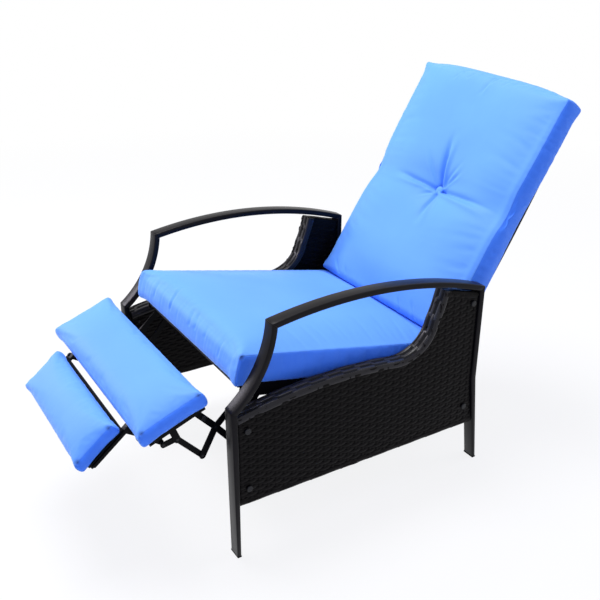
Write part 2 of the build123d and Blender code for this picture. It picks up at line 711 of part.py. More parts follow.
def build_footrest():
    board_top = -footrest_cushion_band - soft_gap
    board_low = board_top - footrest_board_thickness
    corners = ((footrest_board_start, board_low), (footrest_board_end, board_low),
               (footrest_board_end, board_top), (footrest_board_start, board_top))
    add("footrest_board", side_plate(polygon(*[on_footrest(*c) for c in corners]),
                                     -footrest_board_width / 2, footrest_board_width))
    rail_low = board_low - footrest_rail_height
    corners = ((footrest_board_start, rail_low), (footrest_board_end, rail_low),
               (footrest_board_end, board_low), (footrest_board_start, board_low))
    add_both("footrest_rails", side_plate(polygon(*[on_footrest(*c) for c in corners]),
                                         footrest_rail_x, footrest_rail_width))
    rail_middle = board_low - footrest_rail_height / 2
    foot_a = on_footrest(footrest_board_start + eye_radius, rail_middle)
    foot_b = on_footrest(footrest_board_end - eye_radius, rail_middle)
    strap_top = on_footrest(front_strap_out(), rail_middle)
    width = footrest_rail_height
    face = slot(foot_a, foot_b, width) + slot(foot_a, top_pivot, width) + slot(strap_top, front_pivot, width)
    face -= hole(top_pivot, pin_radius + running_clearance) + hole(front_pivot, pin_radius + running_clearance)
    add_both("footrest_brackets", side_plate(face, link_plane_outer, link_thickness))
    foot = (footrest_board_end - flipper_hanger_foot, footrest_board_end)
    toe = (flipper_hinge[0] - eye_radius, flipper_hinge[1])
    heel = (flipper_hinge[0] + eye_radius, flipper_hinge[1])
    hanger = polygon(*[on_footrest(*c) for c in ((foot[0], board_low), toe, heel, (foot[1], board_low))])
    hanger += hole(flipper_hinge_point, eye_radius)
    hanger -= hole(flipper_hinge_point, flipper_rod_radius + running_clearance)
    add_both("flipper_hangers", side_plate(hanger, flipper_hanger_x, link_thickness))

    board_top = -flipper_cushion_band - soft_gap
    board_low = board_top - flipper_board_thickness
    corners = ((flipper_board_start, board_low), (flipper_board_end, board_low),
               (flipper_board_end, board_top), (flipper_board_start, board_top))
    add("flipper_board", side_plate(polygon(*[on_flipper(*c) for c in corners]),
                                    -flipper_board_width / 2, flipper_board_width))
    bar_low = board_low - flipper_bar_height
    corners = ((flipper_bar_start, bar_low), (flipper_bar_end, bar_low),
               (flipper_bar_end, board_low), (flipper_bar_start, board_low))
    bar_x = flipper_board_width / 2 - flipper_bar_width
    bar = side_plate(polygon(*[on_flipper(*c) for c in corners]), bar_x, flipper_bar_width)
    add_both("flipper_bars", bar)
    arm_x = flipper_board_width / 2
    bar_middle = board_low - flipper_bar_height / 2
    arm = slot(flipper_hinge_point, on_flipper(flipper_bar_start + eye_radius, bar_middle), slim_link_width)
    arm += slot(on_flipper(flipper_bar_start + eye_radius, bar_middle),
                on_flipper(flipper_bar_end - eye_radius, bar_middle), flipper_bar_height)
    arm -= hole(flipper_hinge_point, flipper_rod_radius)
    add_both("flipper_arms", side_plate(arm, arm_x, flipper_arm_thickness))
    reach = flipper_crank_x + link_thickness
    add("flipper_rod", rod(flipper_hinge_point, flipper_rod_radius, -reach, reach))
    crank = slot(flipper_hinge_point, flipper_crank_point, slim_link_width)
    crank -= hole(flipper_hinge_point, flipper_rod_radius) + hole(flipper_crank_point, pin_radius)
    add_both("flipper_cranks", side_plate(crank, flipper_crank_x, link_thickness))
    outer = flipper_link_x + link_thickness + head_clearance
    add("flipper_crank_pins", both(pin(flipper_crank_point, flipper_crank_x, outer, (False, True))))
    face = slot(flipper_crank_point, drive_point, flipper_link_width)
    face -= hole(flipper_crank_point, pin_radius + running_clearance)
    face -= hole(drive_point, pin_radius + open_pivot_play)
    add_both("flipper_links", side_plate(face, flipper_link_x, link_thickness))


def front_strap_out():
    """Where the strap to the front pivot meets the footrest rail, along the board."""
    offset_y, offset_z = front_pivot[0] - footrest_corner[0], front_pivot[1] - footrest_corner[1]
    return offset_y * board_out[0] + offset_z * board_out[1]


def cushion_outline(plane, width, length, inset, far_draw):
    """A cushion's plan: sides that draw in between round corners, and a far end with its own draw."""
    half = width / 2 - inset
    low, high = inset, length - inset
    r = min(cushion_corner, half / 2, (high - low) / 4)
    draw = side_draw
    middle = (low + high) / 2
    return outline(
        ThreePointArc((-half + r, low), (0, low + draw), (half - r, low)),
        RadiusArc((half - r, low), (half, low + r), -r),
        ThreePointArc((half, low + r), (half - draw, middle), (half, high - r)),
        RadiusArc((half, high - r), (half - r, high), -r),
        ThreePointArc((half - r, high), (0, high - far_draw), (-half + r, high)),
        RadiusArc((-half + r, high), (-half, high - r), -r),
        ThreePointArc((-half, high - r), (-half + draw, middle), (-half, low + r)),
        RadiusArc((-half, low + r), (-half + r, low), -r),
    ).moved(plane.location)


def cushion(plane, width, length, band, crown, end_band=None, far_draw=side_draw):
    """A boxed cushion on a plane that holds its top seam, with +Z of the plane out of its face.

    Its band may be another height at the far end, where the plane's Y points.
    """
    taper_deg = degrees(atan2(band - end_band, length)) if end_band else 0.0
    levels = []
    reach = min(width, length) * crown_reach_share
    for run, rise in zip(crown_run_shares, crown_rise_shares):
        levels.append((crown * rise, reach * run, 0.0))
    levels.reverse()
    levels.append((-band / 2, -band_bulge, taper_deg / 2))
    levels.append((-band, 0.0, taper_deg))
    sections = []
    for height, inset, tilt_deg in levels:
        shifted = Plane(plane.origin + plane.z_dir * height, x_dir=plane.x_dir, z_dir=plane.z_dir)
        sections.append(cushion_outline(shifted.rotated((tilt_deg, 0, 0)), width, length, inset, far_draw))
    return loft(sections, ruled=True)


def cushion_plane(corner, run, rise):
    """A plane with its local Y along the cushion's run and its local Z out of its face."""
    normal = Vector(0, *rise)
    return Plane(origin=(0, *corner), x_dir=Vector(0, *run).cross(normal), z_dir=normal)


def build_cushions():
    seat = cushion(cushion_plane(on_seat(0, seat_cushion_band), seat_run, seat_up), seat_cushion_width,
                   seat_cushion_depth, seat_cushion_band, seat_cushion_crown)
    tail_top = seat_cushion_band - seat_tail_drop
    tail_front = seat_cushion_depth - seat_tail_length
    crown_top = seat_cushion_band + seat_cushion_crown
    beyond = seat_cushion_depth + overrun
    places = ((tail_front - seat_tail_ramp, crown_top), (tail_front, tail_top), (beyond, tail_top),
              (beyond, crown_top + overrun), (tail_front - seat_tail_ramp, crown_top + overrun))
    tail_room = polygon(*[on_seat(run, rise) for run, rise in places])
    seat -= side_plate(tail_room, -half_width, overall_width)
    add("seat_cushion", seat)
    corner = on_back(back_cushion_start, back_cushion_seam_front)
    back = cushion(cushion_plane(corner, back_up, back_forward), back_cushion_width, back_cushion_length,
                   back_cushion_band, back_cushion_crown, back_cushion_top_band, -back_top_arch)
    face_forward = back_cushion_seam_front + back_cushion_crown
    ball_radius = (tuft_radius ** 2 + tuft_depth ** 2) / (2 * tuft_depth)
    centre = on_back(button_up, face_forward - tuft_depth + ball_radius)
    back -= Pos(button_side, *centre) * Sphere(ball_radius)
    add("back_cushion", back)
    dish_rise = button_radius ** 2 / (2 * ball_radius) + soft_gap
    button_plane = Plane(origin=(button_side, *on_back(button_up, face_forward - tuft_depth + dish_rise)),
                         x_dir=(1, 0, 0), z_dir=Vector(0, *back_forward))
    button = button_plane * Cylinder(button_radius, button_thickness, align=(Align.CENTER, Align.CENTER, Align.MIN))
    add("back_button", fillet(button.edges().sort_by_distance(button_plane.origin)[-1], button_thickness / 2))
    add("footrest_cushion", cushion(cushion_plane(footrest_corner, board_out, board_up), footrest_cushion_width,
                                    footrest_cushion_depth, footrest_cushion_band, footrest_cushion_crown))
    add("flipper_cushion", cushion(cushion_plane(flipper_corner, flipper_out, flipper_up), flipper_cushion_width,
                                   flipper_cushion_depth, flipper_cushion_band, flipper_cushion_crown))


build_side_frames()
build_panels()
build_seat_frame()
build_hinge()
build_back_frame()
build_linkage()
build_footrest()
build_cushions()

os.makedirs("parts", exist_ok=True)
for name, shape in parts.items():
    export_step(shape.moved(Location((0, -origin_setback, 0))), "parts/" + name + ".step")
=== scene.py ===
"""Reclining garden armchair: the finish of every surface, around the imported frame.

Metres, +Z up, the sitter faces -Y. Side-view places are (y, z) with y = 0 at the front face of
the front legs, as on the drawing of the side frame, and side_point() puts them in the row frame.
"""
import json
from math import atan2, cos, hypot, inf, pi, radians, sin, tanh

import bmesh
import bpy
from mathutils import Matrix, Vector, noise


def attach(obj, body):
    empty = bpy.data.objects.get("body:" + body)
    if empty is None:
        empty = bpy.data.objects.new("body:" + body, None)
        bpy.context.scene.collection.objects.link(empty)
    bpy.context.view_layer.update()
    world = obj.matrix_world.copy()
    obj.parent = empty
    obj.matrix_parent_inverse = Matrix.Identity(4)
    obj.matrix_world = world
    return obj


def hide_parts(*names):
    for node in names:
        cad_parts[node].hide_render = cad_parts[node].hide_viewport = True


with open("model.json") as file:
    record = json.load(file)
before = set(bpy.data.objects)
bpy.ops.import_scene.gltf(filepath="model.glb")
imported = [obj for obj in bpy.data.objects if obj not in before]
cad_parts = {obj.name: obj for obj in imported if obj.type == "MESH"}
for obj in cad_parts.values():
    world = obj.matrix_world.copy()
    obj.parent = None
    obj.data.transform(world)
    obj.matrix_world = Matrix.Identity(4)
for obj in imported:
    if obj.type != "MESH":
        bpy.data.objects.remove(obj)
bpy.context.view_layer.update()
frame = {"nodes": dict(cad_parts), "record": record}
scene = bpy.context.scene
ops = bmesh.ops

# The frame's own drawing, in metres
SETBACK = 0.3797
HALF_WIDTH = 0.340
TUBE_WIDTH = 0.0355
TUBE_DEPTH = 0.015
# Rounded edges: how wide, and in how many steps
TUBE_EDGE = (0.003, 3)
MITRE_EDGE = (0.0009, 2)
TUBE_SMOOTH = radians(35)
STRIP_SMOOTH = radians(60)
UPRIGHT_STEPS = 20
ARM_STEPS = 40
FOOT_DEPTH = 0.0105
FOOT_TAPER = 0.300
GLIDE_HEIGHT = 0.004
KNEE = (0.0, 0.409)
UPRIGHT_BOW = (0.075, 0.494)
ARM_FRONT = (0.108, 0.603)
ARM_CREST = (0.400, 0.6165)
ARM_REAR = (0.738, 0.542)
KICK_HEIGHT = 0.270
KICK = 0.029

# Woven side panels
PANEL_OUTER = 0.336
PANEL_INNER = PANEL_OUTER - 0.028
PANEL_GAP = 0.0003
SILL_FRONT = 0.146
SILL_REAR = 0.128
FRONT_TOP = 0.389
PANEL_WAVE = (0.245, 0.412)
PANEL_DIP = (0.468, 0.398)
PANEL_BEND = (0.543, 0.418)
PANEL_RISE = (0.580, 0.478)
PANEL_NECK = (0.598, 0.524)
PANEL_PEAK = (0.608, 0.558)
REAR_TOP = 0.526
PANEL_ARC_STEPS = (60, 24, 16)
ROW_PITCH = 0.0092
STRAND_WIDTH = 0.0090
STRAND_DEPTH = 0.0013
STAKE_PITCH = 0.023
STAKE_WIDTH = 0.0075
WEAVE_DEPTH = 0.0009
STRAND_STEP = 0.0040
RIM_CORNER = 0.0032
CORE_SETBACK = 0.0042
RIM_OVERHANG = 0.012
RIM_DEPTH = 0.021
CORE_INSET = 0.0030
WRAP_PITCH = 0.046
WAVE_FLATNESS = 2.0
WEAVE_INSET = 0.0019
FIRST_ROW_SHARE = 0.6
LAST_ROW_SHARE = 0.3
SHORTEST_RUN = 0.012
ROW_SWAY = 0.0006
ROW_DRIFT = 0.0007
SWAY_STEP = 1.7
DRIFT_STEPS = (14.0, 2.3)
STRIP_CROWN = 0.0004
STRIP_MIDDLE = 0.3
STRIP_MIDDLE_SPREAD = 1.9
STRIP_EDGE = 0.45
STRIP_EDGE_THINNING = 0.34
TONE_STEP = 3.71
MAP_STEP = 0.37
LAST_STAKE_ROOM = 0.003
EDGE_ROUND_REACH = 0.005
STAKE_DEPTH_SHARE = 0.8
RIM_STEP = 0.0036
RIM_SECTION_STEP = 0.012
RIM_ROW_PITCH = 0.0086
RIM_SIDE_ROOM = 0.0135
RIM_FIRST_ROW = 0.0085
RIM_WIDTH_SHARE = 0.49
# Each row of a rim: its inset from the side, its depth below the edge, and the way it faces (up, out)
RIM_OUTER_ROWS = ((0.0010, 0.0105, 0.0, 1.0), (0.0020, 0.0032, 0.45, 0.9))
RIM_TOP_FACING = (0.0003, 1.0, 0.0)
RIM_INNER_ROWS = ((0.0012, 0.0060, 0.1, -1.0), (0.0008, 0.0150, 0.0, -1.0))
RIM_SHIFT = 0.004
RIM_SWING = 0.0005
REAR_SWING = 0.0006
FOOT_SWING = 0.0003
WRAP_TAIL = 0.011
WRAP_CORNER = 0.0022
WRAP_SINK = 0.0006
WRAP_WAVE = 0.02
WRAP_STEPS = 18

# How near two places are to count as one, and how square a face is to count as an end
TOUCH = 1e-6
FLUSH = 1e-5
FACING = 0.99
SAME_LEVEL = 1e-9
EULER = 2.718

# Cushions: the seam lines that their shapes hang from
SEAT_FRONT = (0.0355, 0.4448)
SEAT_SLOPE = radians(12.7)
HINGE = (0.672, 0.375)
BACK_LEAN = radians(32.7)
FOOTREST_CORNER = (-0.047, 0.460)
FOOTREST_SLOPE = radians(20.0)
FLIPPER_CORNER = (-0.228, 0.388)
FLIPPER_SLOPE = radians(38.8)


def side_point(place, x=0.0):
    return Vector((x, place[0] - SETBACK, place[1]))


def turned(vector, angle):
    c, s = cos(angle), sin(angle)
    return (vector[0] * c - vector[1] * s, vector[0] * s + vector[1] * c)


def span(a, b):
    return hypot(b[0] - a[0], b[1] - a[1])


def part_way(a, b, t):
    return [p + (q - p) * t for p, q in zip(a, b)]


def way_along(places, i, reach):
    """The direction of a path at one of its points, taken over a few points to each side."""
    a, b = places[max(0, i - reach)], places[min(len(places) - 1, i + reach)]
    return Vector((b[0] - a[0], b[1] - a[1])).normalized()


def bell(t, power=2):
    """A soft fall from 1 where t is zero."""
    return EULER ** -(t ** power)


def noise_at(*place):
    return noise.noise(Vector(place))


def smooth(t):
    t = min(max(t, 0.0), 1.0)
    return t * t * (3 - 2 * t)


def mesh_from(name, bm):
    mesh = bpy.data.meshes.new(name)
    bm.to_mesh(mesh)
    bm.free()
    return mesh


def placed(name, data):
    obj = bpy.data.objects.new(name, data)
    scene.collection.objects.link(obj)
    return obj


def piece(name, bm, body, slot, material, *nodes, smooth_angle=None):
    """A finished piece: its mesh in place, riding on a body, standing for its CAD nodes."""
    mesh = mesh_from(name, bm)
    obj = placed(name, mesh)
    mesh.materials.append(material)
    for polygon in mesh.polygons:
        polygon.use_smooth = True
    if smooth_angle is not None:
        mesh.set_sharp_from_angle(angle=smooth_angle)
    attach(obj, body)
    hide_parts(*nodes)
    return obj


def new_verts(grown):
    return [v for v in grown["geom"] if isinstance(v, bmesh.types.BMVert)]


def cut_cube(counts):
    """A unit cube cut into a grid of quads, with so many cuts along each axis."""
    bm = bmesh.new()
    ops.create_cube(bm, size=1.0)
    for axis, cuts in enumerate(counts):
        runs = [e for e in bm.edges if abs(e.verts[0].co[axis] - e.verts[1].co[axis]) > 0.5]
        ops.subdivide_edges(bm, edges=runs, cuts=cuts, use_grid_fill=True)
    return bm


def rounded(bm, edges, offset, segments):
    return ops.bevel(bm, geom=edges, offset=offset, segments=segments, profile=0.5, affect="EDGES",
                           material=-1)


def settled(bm, side):
    """Mirror a left-hand mesh for the right side, and turn its faces outwards."""
    if side == "right":
        ops.scale(bm, verts=bm.verts[:], vec=(-1, 1, 1))
    ops.recalc_face_normals(bm, faces=bm.faces[:])


# Materials

def node_tree(name):
    material = bpy.data.materials.new(name)
    material.use_nodes = True
    tree = material.node_tree
    return material, tree, tree.nodes["Principled BSDF"]


def feed(tree, node, inputs):
    """Set a node's inputs, each to a value or to another node's output."""
    for key, value in inputs.items():
        if isinstance(value, bpy.types.NodeSocket):
            tree.links.new(value, node.inputs[key])
        else:
            node.inputs[key].default_value = value


def add_node(tree, kind, inputs=None, **settings):
    """Add a shader node and hand back its outputs."""
    node = tree.nodes.new("ShaderNode" + kind)
    for key, value in settings.items():
        setattr(node, key, value)
    feed(tree, node, inputs or {})
    return node.outputs


def cloudy(tree, place, scale, detail, roughness=0.5):
    return add_node(tree, "TexNoise", {"Vector": place, "Scale": scale, "Detail": detail,
                                       "Roughness": roughness})["Fac"]


def worked_out(tree, operation, *values):
    return add_node(tree, "Math", dict(enumerate(values)), operation=operation)["Value"]


def colour_ramp(tree, value, *stops):
    """A blend between two colours, each at its own place on the scale."""
    ramp = tree.nodes.new("ShaderNodeValToRGB")
    for element, (position, colour) in zip(ramp.color_ramp.elements, stops):
        element.position = position
        element.color = (*colour, 1.0)
    tree.links.new(value, ramp.inputs["Fac"])
    return ramp.outputs["Color"]


def painted_steel(name, colour, roughness, grain, gloss=0.06):
    """Powder coat: an orange-peel bump, a faint cloudy tone and a soft sheen."""
    material, tree, shader = node_tree(name)
    place = add_node(tree, "TexCoord")["Object"]
    cloud = cloudy(tree, place, scale=9.0, detail=4.0, roughness=0.6)
    tone = colour_ramp(tree, cloud, (0.35, [c * 0.82 for c in colour]),
                       (0.7, [c * 1.22 for c in colour]))
    rough = add_node(tree, "MapRange", {"Value": cloud, "To Min": roughness - 0.05,
                                        "To Max": roughness + 0.07})["Result"]
    peel = cloudy(tree, place, scale=grain, detail=2.0)
    bump = add_node(tree, "Bump", {"Height": peel, "Strength": 0.08, "Distance": 0.0003})["Normal"]
    feed(tree, shader, {"Base Color": tone, "Roughness": rough, "Normal": bump,
                        "Specular IOR Level": gloss})
    return material


def cushion_cloth():
    """Smooth outdoor polyester: a fine plain weave, a soft sheen and a little uneven dyeing, with
    painted shade: darker side bands and dark pinched seam corners.
    """
    material, tree, shader = node_tree("sky_blue_polyester")
    place = add_node(tree, "TexCoord")
    cloud = cloudy(tree, place["Object"], scale=5.0, detail=3.0)
    top = colour_ramp(tree, cloud, (0.3, (0.122, 0.352, 0.94)), (0.72, (0.138, 0.388, 0.99)))
    # Painted shade: the side bands get a darker, bluer copy of the cloth colour, for the shade they
    # stand in
    painted_band_shade = colour_ramp(tree, cloud, (0.3, (0.056, 0.240, 0.92)), (0.72, (0.066, 0.265, 0.97)))
    side = add_node(tree, "Attribute", attribute_name="painted_band_shade")["Fac"]
    cut = add_node(tree, "MixRGB", {"Fac": side, "Color1": top, "Color2": painted_band_shade})["Color"]
    # Painted shade: a dark blue spot in the pinched seam corners, where shade falls
    painted_stitch_shade = add_node(tree, "Attribute", attribute_name="painted_stitch_shade")["Fac"]
    dye_and_painted_shade = add_node(tree, "MixRGB", {"Fac": painted_stitch_shade, "Color1": cut,
                                    "Color2": (0.010, 0.035, 0.16, 1.0)})["Color"]
    yarn = {"Vector": place["UV"], "Scale": 160.0, "Distortion": 0.6, "Detail": 1.0}
    warp, weft = (add_node(tree, "TexWave", yarn, bands_direction=way)["Fac"] for way in "XY")
    cross = worked_out(tree, "MULTIPLY", warp, weft)
    shade = add_node(tree, "MixRGB", {"Fac": 0.07, "Color1": dye_and_painted_shade, "Color2": cross},
                     blend_type="MULTIPLY")["Color"]
    crumple = cloudy(tree, place["Object"], scale=38.0, detail=4.0, roughness=0.55)
    height = worked_out(tree, "MULTIPLY_ADD", cross, 0.16, crumple)
    bump = add_node(tree, "Bump", {"Height": height, "Strength": 0.22, "Distance": 0.0016})["Normal"]
    feed(tree, shader, {"Base Color": shade, "Normal": bump, "Roughness": 0.62,
                        "Specular IOR Level": 0.35, "Sheen Weight": 0.25, "Sheen Roughness": 0.45,
                        "Sheen Tint": (0.55, 0.75, 1.0, 1.0)})
    return material


def resin_strand(name, dark, light, gloss):
    """Flat resin strips: espresso, each its own shade, streaked along it, with a satin gloss."""
    material, tree, shader = node_tree(name)
    place = add_node(tree, "TexCoord")["UV"]
    stretch = add_node(tree, "Mapping", {"Vector": place, "Scale": (16.0, 900.0, 1.0)})["Vector"]
    streak = cloudy(tree, stretch, scale=1.0, detail=3.0, roughness=0.6)
    shade = add_node(tree, "Attribute", attribute_name="shade")["Fac"]
    blend = worked_out(tree, "MULTIPLY_ADD", shade, 0.55, -0.22)
    total = worked_out(tree, "ADD", blend, streak)
    tone = colour_ramp(tree, total, (0.3, dark), (0.85, light))
    rough = add_node(tree, "MapRange", {"Value": streak, "To Min": 0.24, "To Max": 0.40})["Result"]
    bump = add_node(tree, "Bump", {"Height": streak, "Strength": 0.35, "Distance": 0.0003})["Normal"]
    feed(tree, shader, {"Base Color": tone, "Roughness": rough, "Normal": bump,
                        "Specular IOR Level": gloss})
    return material


PAINT = painted_steel("black_brown_powder_coat", (0.0052, 0.0043, 0.0052), 0.30, 620.0, 0.11)
LINK_PAINT = painted_steel("satin_black_link_paint", (0.0030, 0.0030, 0.0034), 0.34, 800.0)
PIN_METAL = painted_steel("dark_zinc_pins", (0.010, 0.010, 0.011), 0.26, 900.0, 0.22)
# Also used for the dark sheets inside the side panels, which are painted shade
BOARD = painted_steel("black_stained_board_and_panel_shade", (0.0055, 0.0055, 0.006), 0.6, 260.0)
GLIDE = painted_steel("moulded_foot_plug", (0.007, 0.007, 0.007), 0.5, 500.0)
SLING = painted_steel("black_sling_mesh", (0.012, 0.012, 0.013), 0.65, 340.0)
CLOTH = cushion_cloth()
STRAND = resin_strand("espresso_resin_strand", (0.0012, 0.0009, 0.0010),
                      (0.0048, 0.0036, 0.0037), 0.06)
# The rim strips are the same resin as the face strips, with a higher gloss setting and a lighter
# purple-grey colour that is a painted highlight
RIM_STRAND = resin_strand("glossy_rim_strand_with_painted_highlight", (0.0034, 0.0030, 0.0038),
                          (0.0170, 0.0150, 0.0190), 0.24)

slot_finish = {
    "frame_paint": PAINT, "link_paint": LINK_PAINT, "pin_steel": PIN_METAL, "board_black": BOARD,
    "glide_plastic": GLIDE, "back_mesh": SLING, "strap_webbing": SLING, "resin_weave": STRAND,
    "cushion_cloth": CLOTH,
}
for entry in frame["record"]["subparts"]:
    node = frame["nodes"][entry["node"]]
    node.data.materials.clear()
    node.data.materials.append(slot_finish[entry["material_slot"]])


# Side frames

def arc_centre(a, b, c):
    d = 2 * (a[0] * (b[1] - c[1]) + b[0] * (c[1] - a[1]) + c[0] * (a[1] - b[1]))
    s = [p[0] ** 2 + p[1] ** 2 for p in (a, b, c)]
    y = (s[0] * (b[1] - c[1]) + s[1] * (c[1] - a[1]) + s[2] * (a[1] - b[1])) / d
    z = (s[0] * (c[0] - b[0]) + s[1] * (a[0] - c[0]) + s[2] * (b[0] - a[0])) / d
    return (y, z), hypot(a[0] - y, a[1] - z)


def arc_steps(centre, start, end, count):
    """Points along the arc about a centre from one place to another, the short way."""
    radius = span(centre, start)
    a0 = atan2(start[1] - centre[1], start[0] - centre[0])
    a1 = atan2(end[1] - centre[1], end[0] - centre[0])
    turn = (a1 - a0 + pi) % (2 * pi) - pi
    angles = [a0 + turn * i / count for i in range(count + 1)]
    return [(centre[0] + radius * cos(a), centre[1] + radius * sin(a)) for a in angles]


def tangent(centre, place, towards):
    """The unit direction along an arc at a place, going towards another place."""
    spoke = (place[0] - centre[0], place[1] - centre[1])
    length = hypot(*spoke)
    way = (-spoke[1] / length, spoke[0] / length)
    ahead = (towards[0] - place[0]) * way[0] + (towards[1] - place[1]) * way[1]
    return way if ahead > 0 else (-way[0], -way[1])


def mitre_line(first, second):
    """The direction of the cut that halves the corner between two path directions."""
    return turned((first[0] + second[0], first[1] + second[1]), pi / 2)


def hit_circle(place, way, centre, radius):
    """Where a line through a place meets a circle, at the nearer crossing."""
    length = hypot(*way)
    way = (way[0] / length, way[1] / length)
    offset = (place[0] - centre[0], place[1] - centre[1])
    b = offset[0] * way[0] + offset[1] * way[1]
    root = (b * b - offset[0] ** 2 - offset[1] ** 2 + radius * radius) ** 0.5
    step = min((-b - root, -b + root), key=abs)
    return (place[0] + way[0] * step, place[1] + way[1] * step)


def hit_upright(place, way, y):
    """Where a line through a place meets the upright line at a given y."""
    return (y, place[1] + way[1] * (y - place[0]) / way[0])


def side_tube(name, near_edge, far_edge):
    """A flat tube between two side-view edges, its long corners rounded and its mitres left crisp."""
    bm = bmesh.new()
    x_low = HALF_WIDTH - TUBE_WIDTH
    face = bm.faces.new([bm.verts.new(side_point(p, x_low)) for p in near_edge + far_edge[::-1]])
    grown = ops.extrude_face_region(bm, geom=[face], use_keep_orig=True)
    ops.translate(bm, verts=new_verts(grown), vec=(TUBE_WIDTH, 0, 0))
    ops.recalc_face_normals(bm, faces=bm.faces[:])
    ends = [[side_point(edge[i]) for edge in (near_edge, far_edge)] for i in (0, -1)]

    def across_end(edge):
        middle = (edge.verts[0].co + edge.verts[1].co) / 2
        return any((middle - (a + b) / 2).yz.length < TOUCH for a, b in ends)

    long_edges = [e for e in bm.edges
                  if abs(e.verts[0].co.x - e.verts[1].co.x) < TOUCH and not across_end(e)]
    rounded(bm, long_edges, *TUBE_EDGE)
    for a, b in ends:
        level = Vector((1, 0, 0)).cross(b - a).normalized()
        cut = [f for f in bm.faces if abs(f.normal.dot(level)) > FACING
               and abs((f.calc_center_median() - a).dot(level)) < FLUSH]
        rims = [e for e in bm.edges if any(f in cut for f in e.link_faces)]
        rounded(bm, rims, *MITRE_EDGE)
    ops.recalc_face_normals(bm, faces=bm.faces[:])
    mirrored = bm.copy()
    ops.scale(mirrored, verts=mirrored.verts[:], vec=(-1, 1, 1))
    ops.reverse_faces(mirrored, faces=mirrored.faces[:])
    for side, mesh in (("left_", bm), ("right_", mirrored)):
        piece(side + name + "_tube", mesh, "frame", "frame_paint", PAINT, side + name,
              smooth_angle=TUBE_SMOOTH)


def build_side_frames():
    bow_centre, bow_radius = arc_centre(KNEE, UPRIGHT_BOW, ARM_FRONT)
    arm_middle, arm_radius = arc_centre(ARM_FRONT, ARM_CREST, ARM_REAR)
    knee_cut = mitre_line((0, 1), tangent(bow_centre, KNEE, ARM_FRONT))
    away = part_way(KNEE, ARM_FRONT, 2)
    front_cut = mitre_line(tangent(bow_centre, ARM_FRONT, away),
                           tangent(arm_middle, ARM_FRONT, ARM_REAR))
    beyond = part_way(ARM_FRONT, ARM_REAR, 2)
    rear_cut = mitre_line(tangent(arm_middle, ARM_REAR, beyond), (0, -1))
    knee_inner = hit_circle(KNEE, knee_cut, bow_centre, bow_radius + TUBE_DEPTH)
    leg_inner = hit_upright(KNEE, knee_cut, TUBE_DEPTH)
    front_inner = hit_circle(ARM_FRONT, front_cut, bow_centre, bow_radius + TUBE_DEPTH)
    arm_inner_front = hit_circle(ARM_FRONT, front_cut, arm_middle, arm_radius - TUBE_DEPTH)
    arm_inner_rear = hit_circle(ARM_REAR, rear_cut, arm_middle, arm_radius - TUBE_DEPTH)
    rear_front = ARM_REAR[0] - TUBE_DEPTH
    rear_inner = hit_upright(ARM_REAR, rear_cut, rear_front)
    foot = ARM_REAR[0] + KICK
    side_tube("front_leg", [(0, GLIDE_HEIGHT), (0, FOOT_TAPER), KNEE],
              [(FOOT_DEPTH, GLIDE_HEIGHT), (TUBE_DEPTH, FOOT_TAPER), leg_inner])
    side_tube("front_upright", arc_steps(bow_centre, KNEE, ARM_FRONT, UPRIGHT_STEPS),
              arc_steps(bow_centre, knee_inner, front_inner, UPRIGHT_STEPS))
    side_tube("arm", arc_steps(arm_middle, ARM_FRONT, ARM_REAR, ARM_STEPS),
              arc_steps(arm_middle, arm_inner_front, arm_inner_rear, ARM_STEPS))
    side_tube("rear_leg", [ARM_REAR, (ARM_REAR[0], KICK_HEIGHT), (foot, GLIDE_HEIGHT)],
              [rear_inner, (rear_front, KICK_HEIGHT), (foot - FOOT_DEPTH, GLIDE_HEIGHT)])


build_side_frames()


# Woven side panels

def three_point_path(a, b, c, count):
    centre, _ = arc_centre(a, b, c)
    half = count // 2
    return arc_steps(centre, a, b, half) + arc_steps(centre, b, c, count - half)[1:]


def panel_front(z):
    return FOOT_DEPTH + (TUBE_DEPTH - FOOT_DEPTH) * min(z / FOOT_TAPER, 1.0) + PANEL_GAP


def panel_rear(z):
    share = max(0.0, 1 - z / KICK_HEIGHT)
    return ARM_REAR[0] - TUBE_DEPTH + (KICK - FOOT_DEPTH + TUBE_DEPTH) * share - PANEL_GAP


def panel_top_path():
    start = (panel_front(FRONT_TOP), FRONT_TOP)
    path = three_point_path(start, PANEL_WAVE, PANEL_DIP, PANEL_ARC_STEPS[0])
    path += three_point_path(PANEL_DIP, PANEL_BEND, PANEL_RISE, PANEL_ARC_STEPS[1])[1:]
    path += three_point_path(PANEL_RISE, PANEL_NECK, PANEL_PEAK, PANEL_ARC_STEPS[2])[1:]
    path.append((panel_rear(REAR_TOP), REAR_TOP))
    return path


def even_steps(path, pitch):
    """The same path with points a fixed pitch apart, and its length."""
    runs = [span(a, b) for a, b in zip(path, path[1:])]
    total = sum(runs)
    count = max(2, round(total / pitch))
    places, index, gone = [], 0, 0.0
    for i in range(count + 1):
        want = total * i / count
        while index < len(runs) - 1 and gone + runs[index] < want:
            gone += runs[index]
            index += 1
        places.append(part_way(path[index], path[index + 1], (want - gone) / runs[index]))
    return places, total


def strand_bar(cuts, fine=True):
    """A flat strip along X in a unit box, cut into even lengths, with soft edges."""
    bm = cut_cube((cuts, 2 if fine else 1))
    for v in bm.verts:
        if fine and abs(v.co.y) < STRIP_MIDDLE:
            v.co.y *= STRIP_MIDDLE_SPREAD
        v.co.z *= 1.0 if abs(v.co.y) < STRIP_EDGE else STRIP_EDGE_THINNING
    return mesh_from("strip", bm)


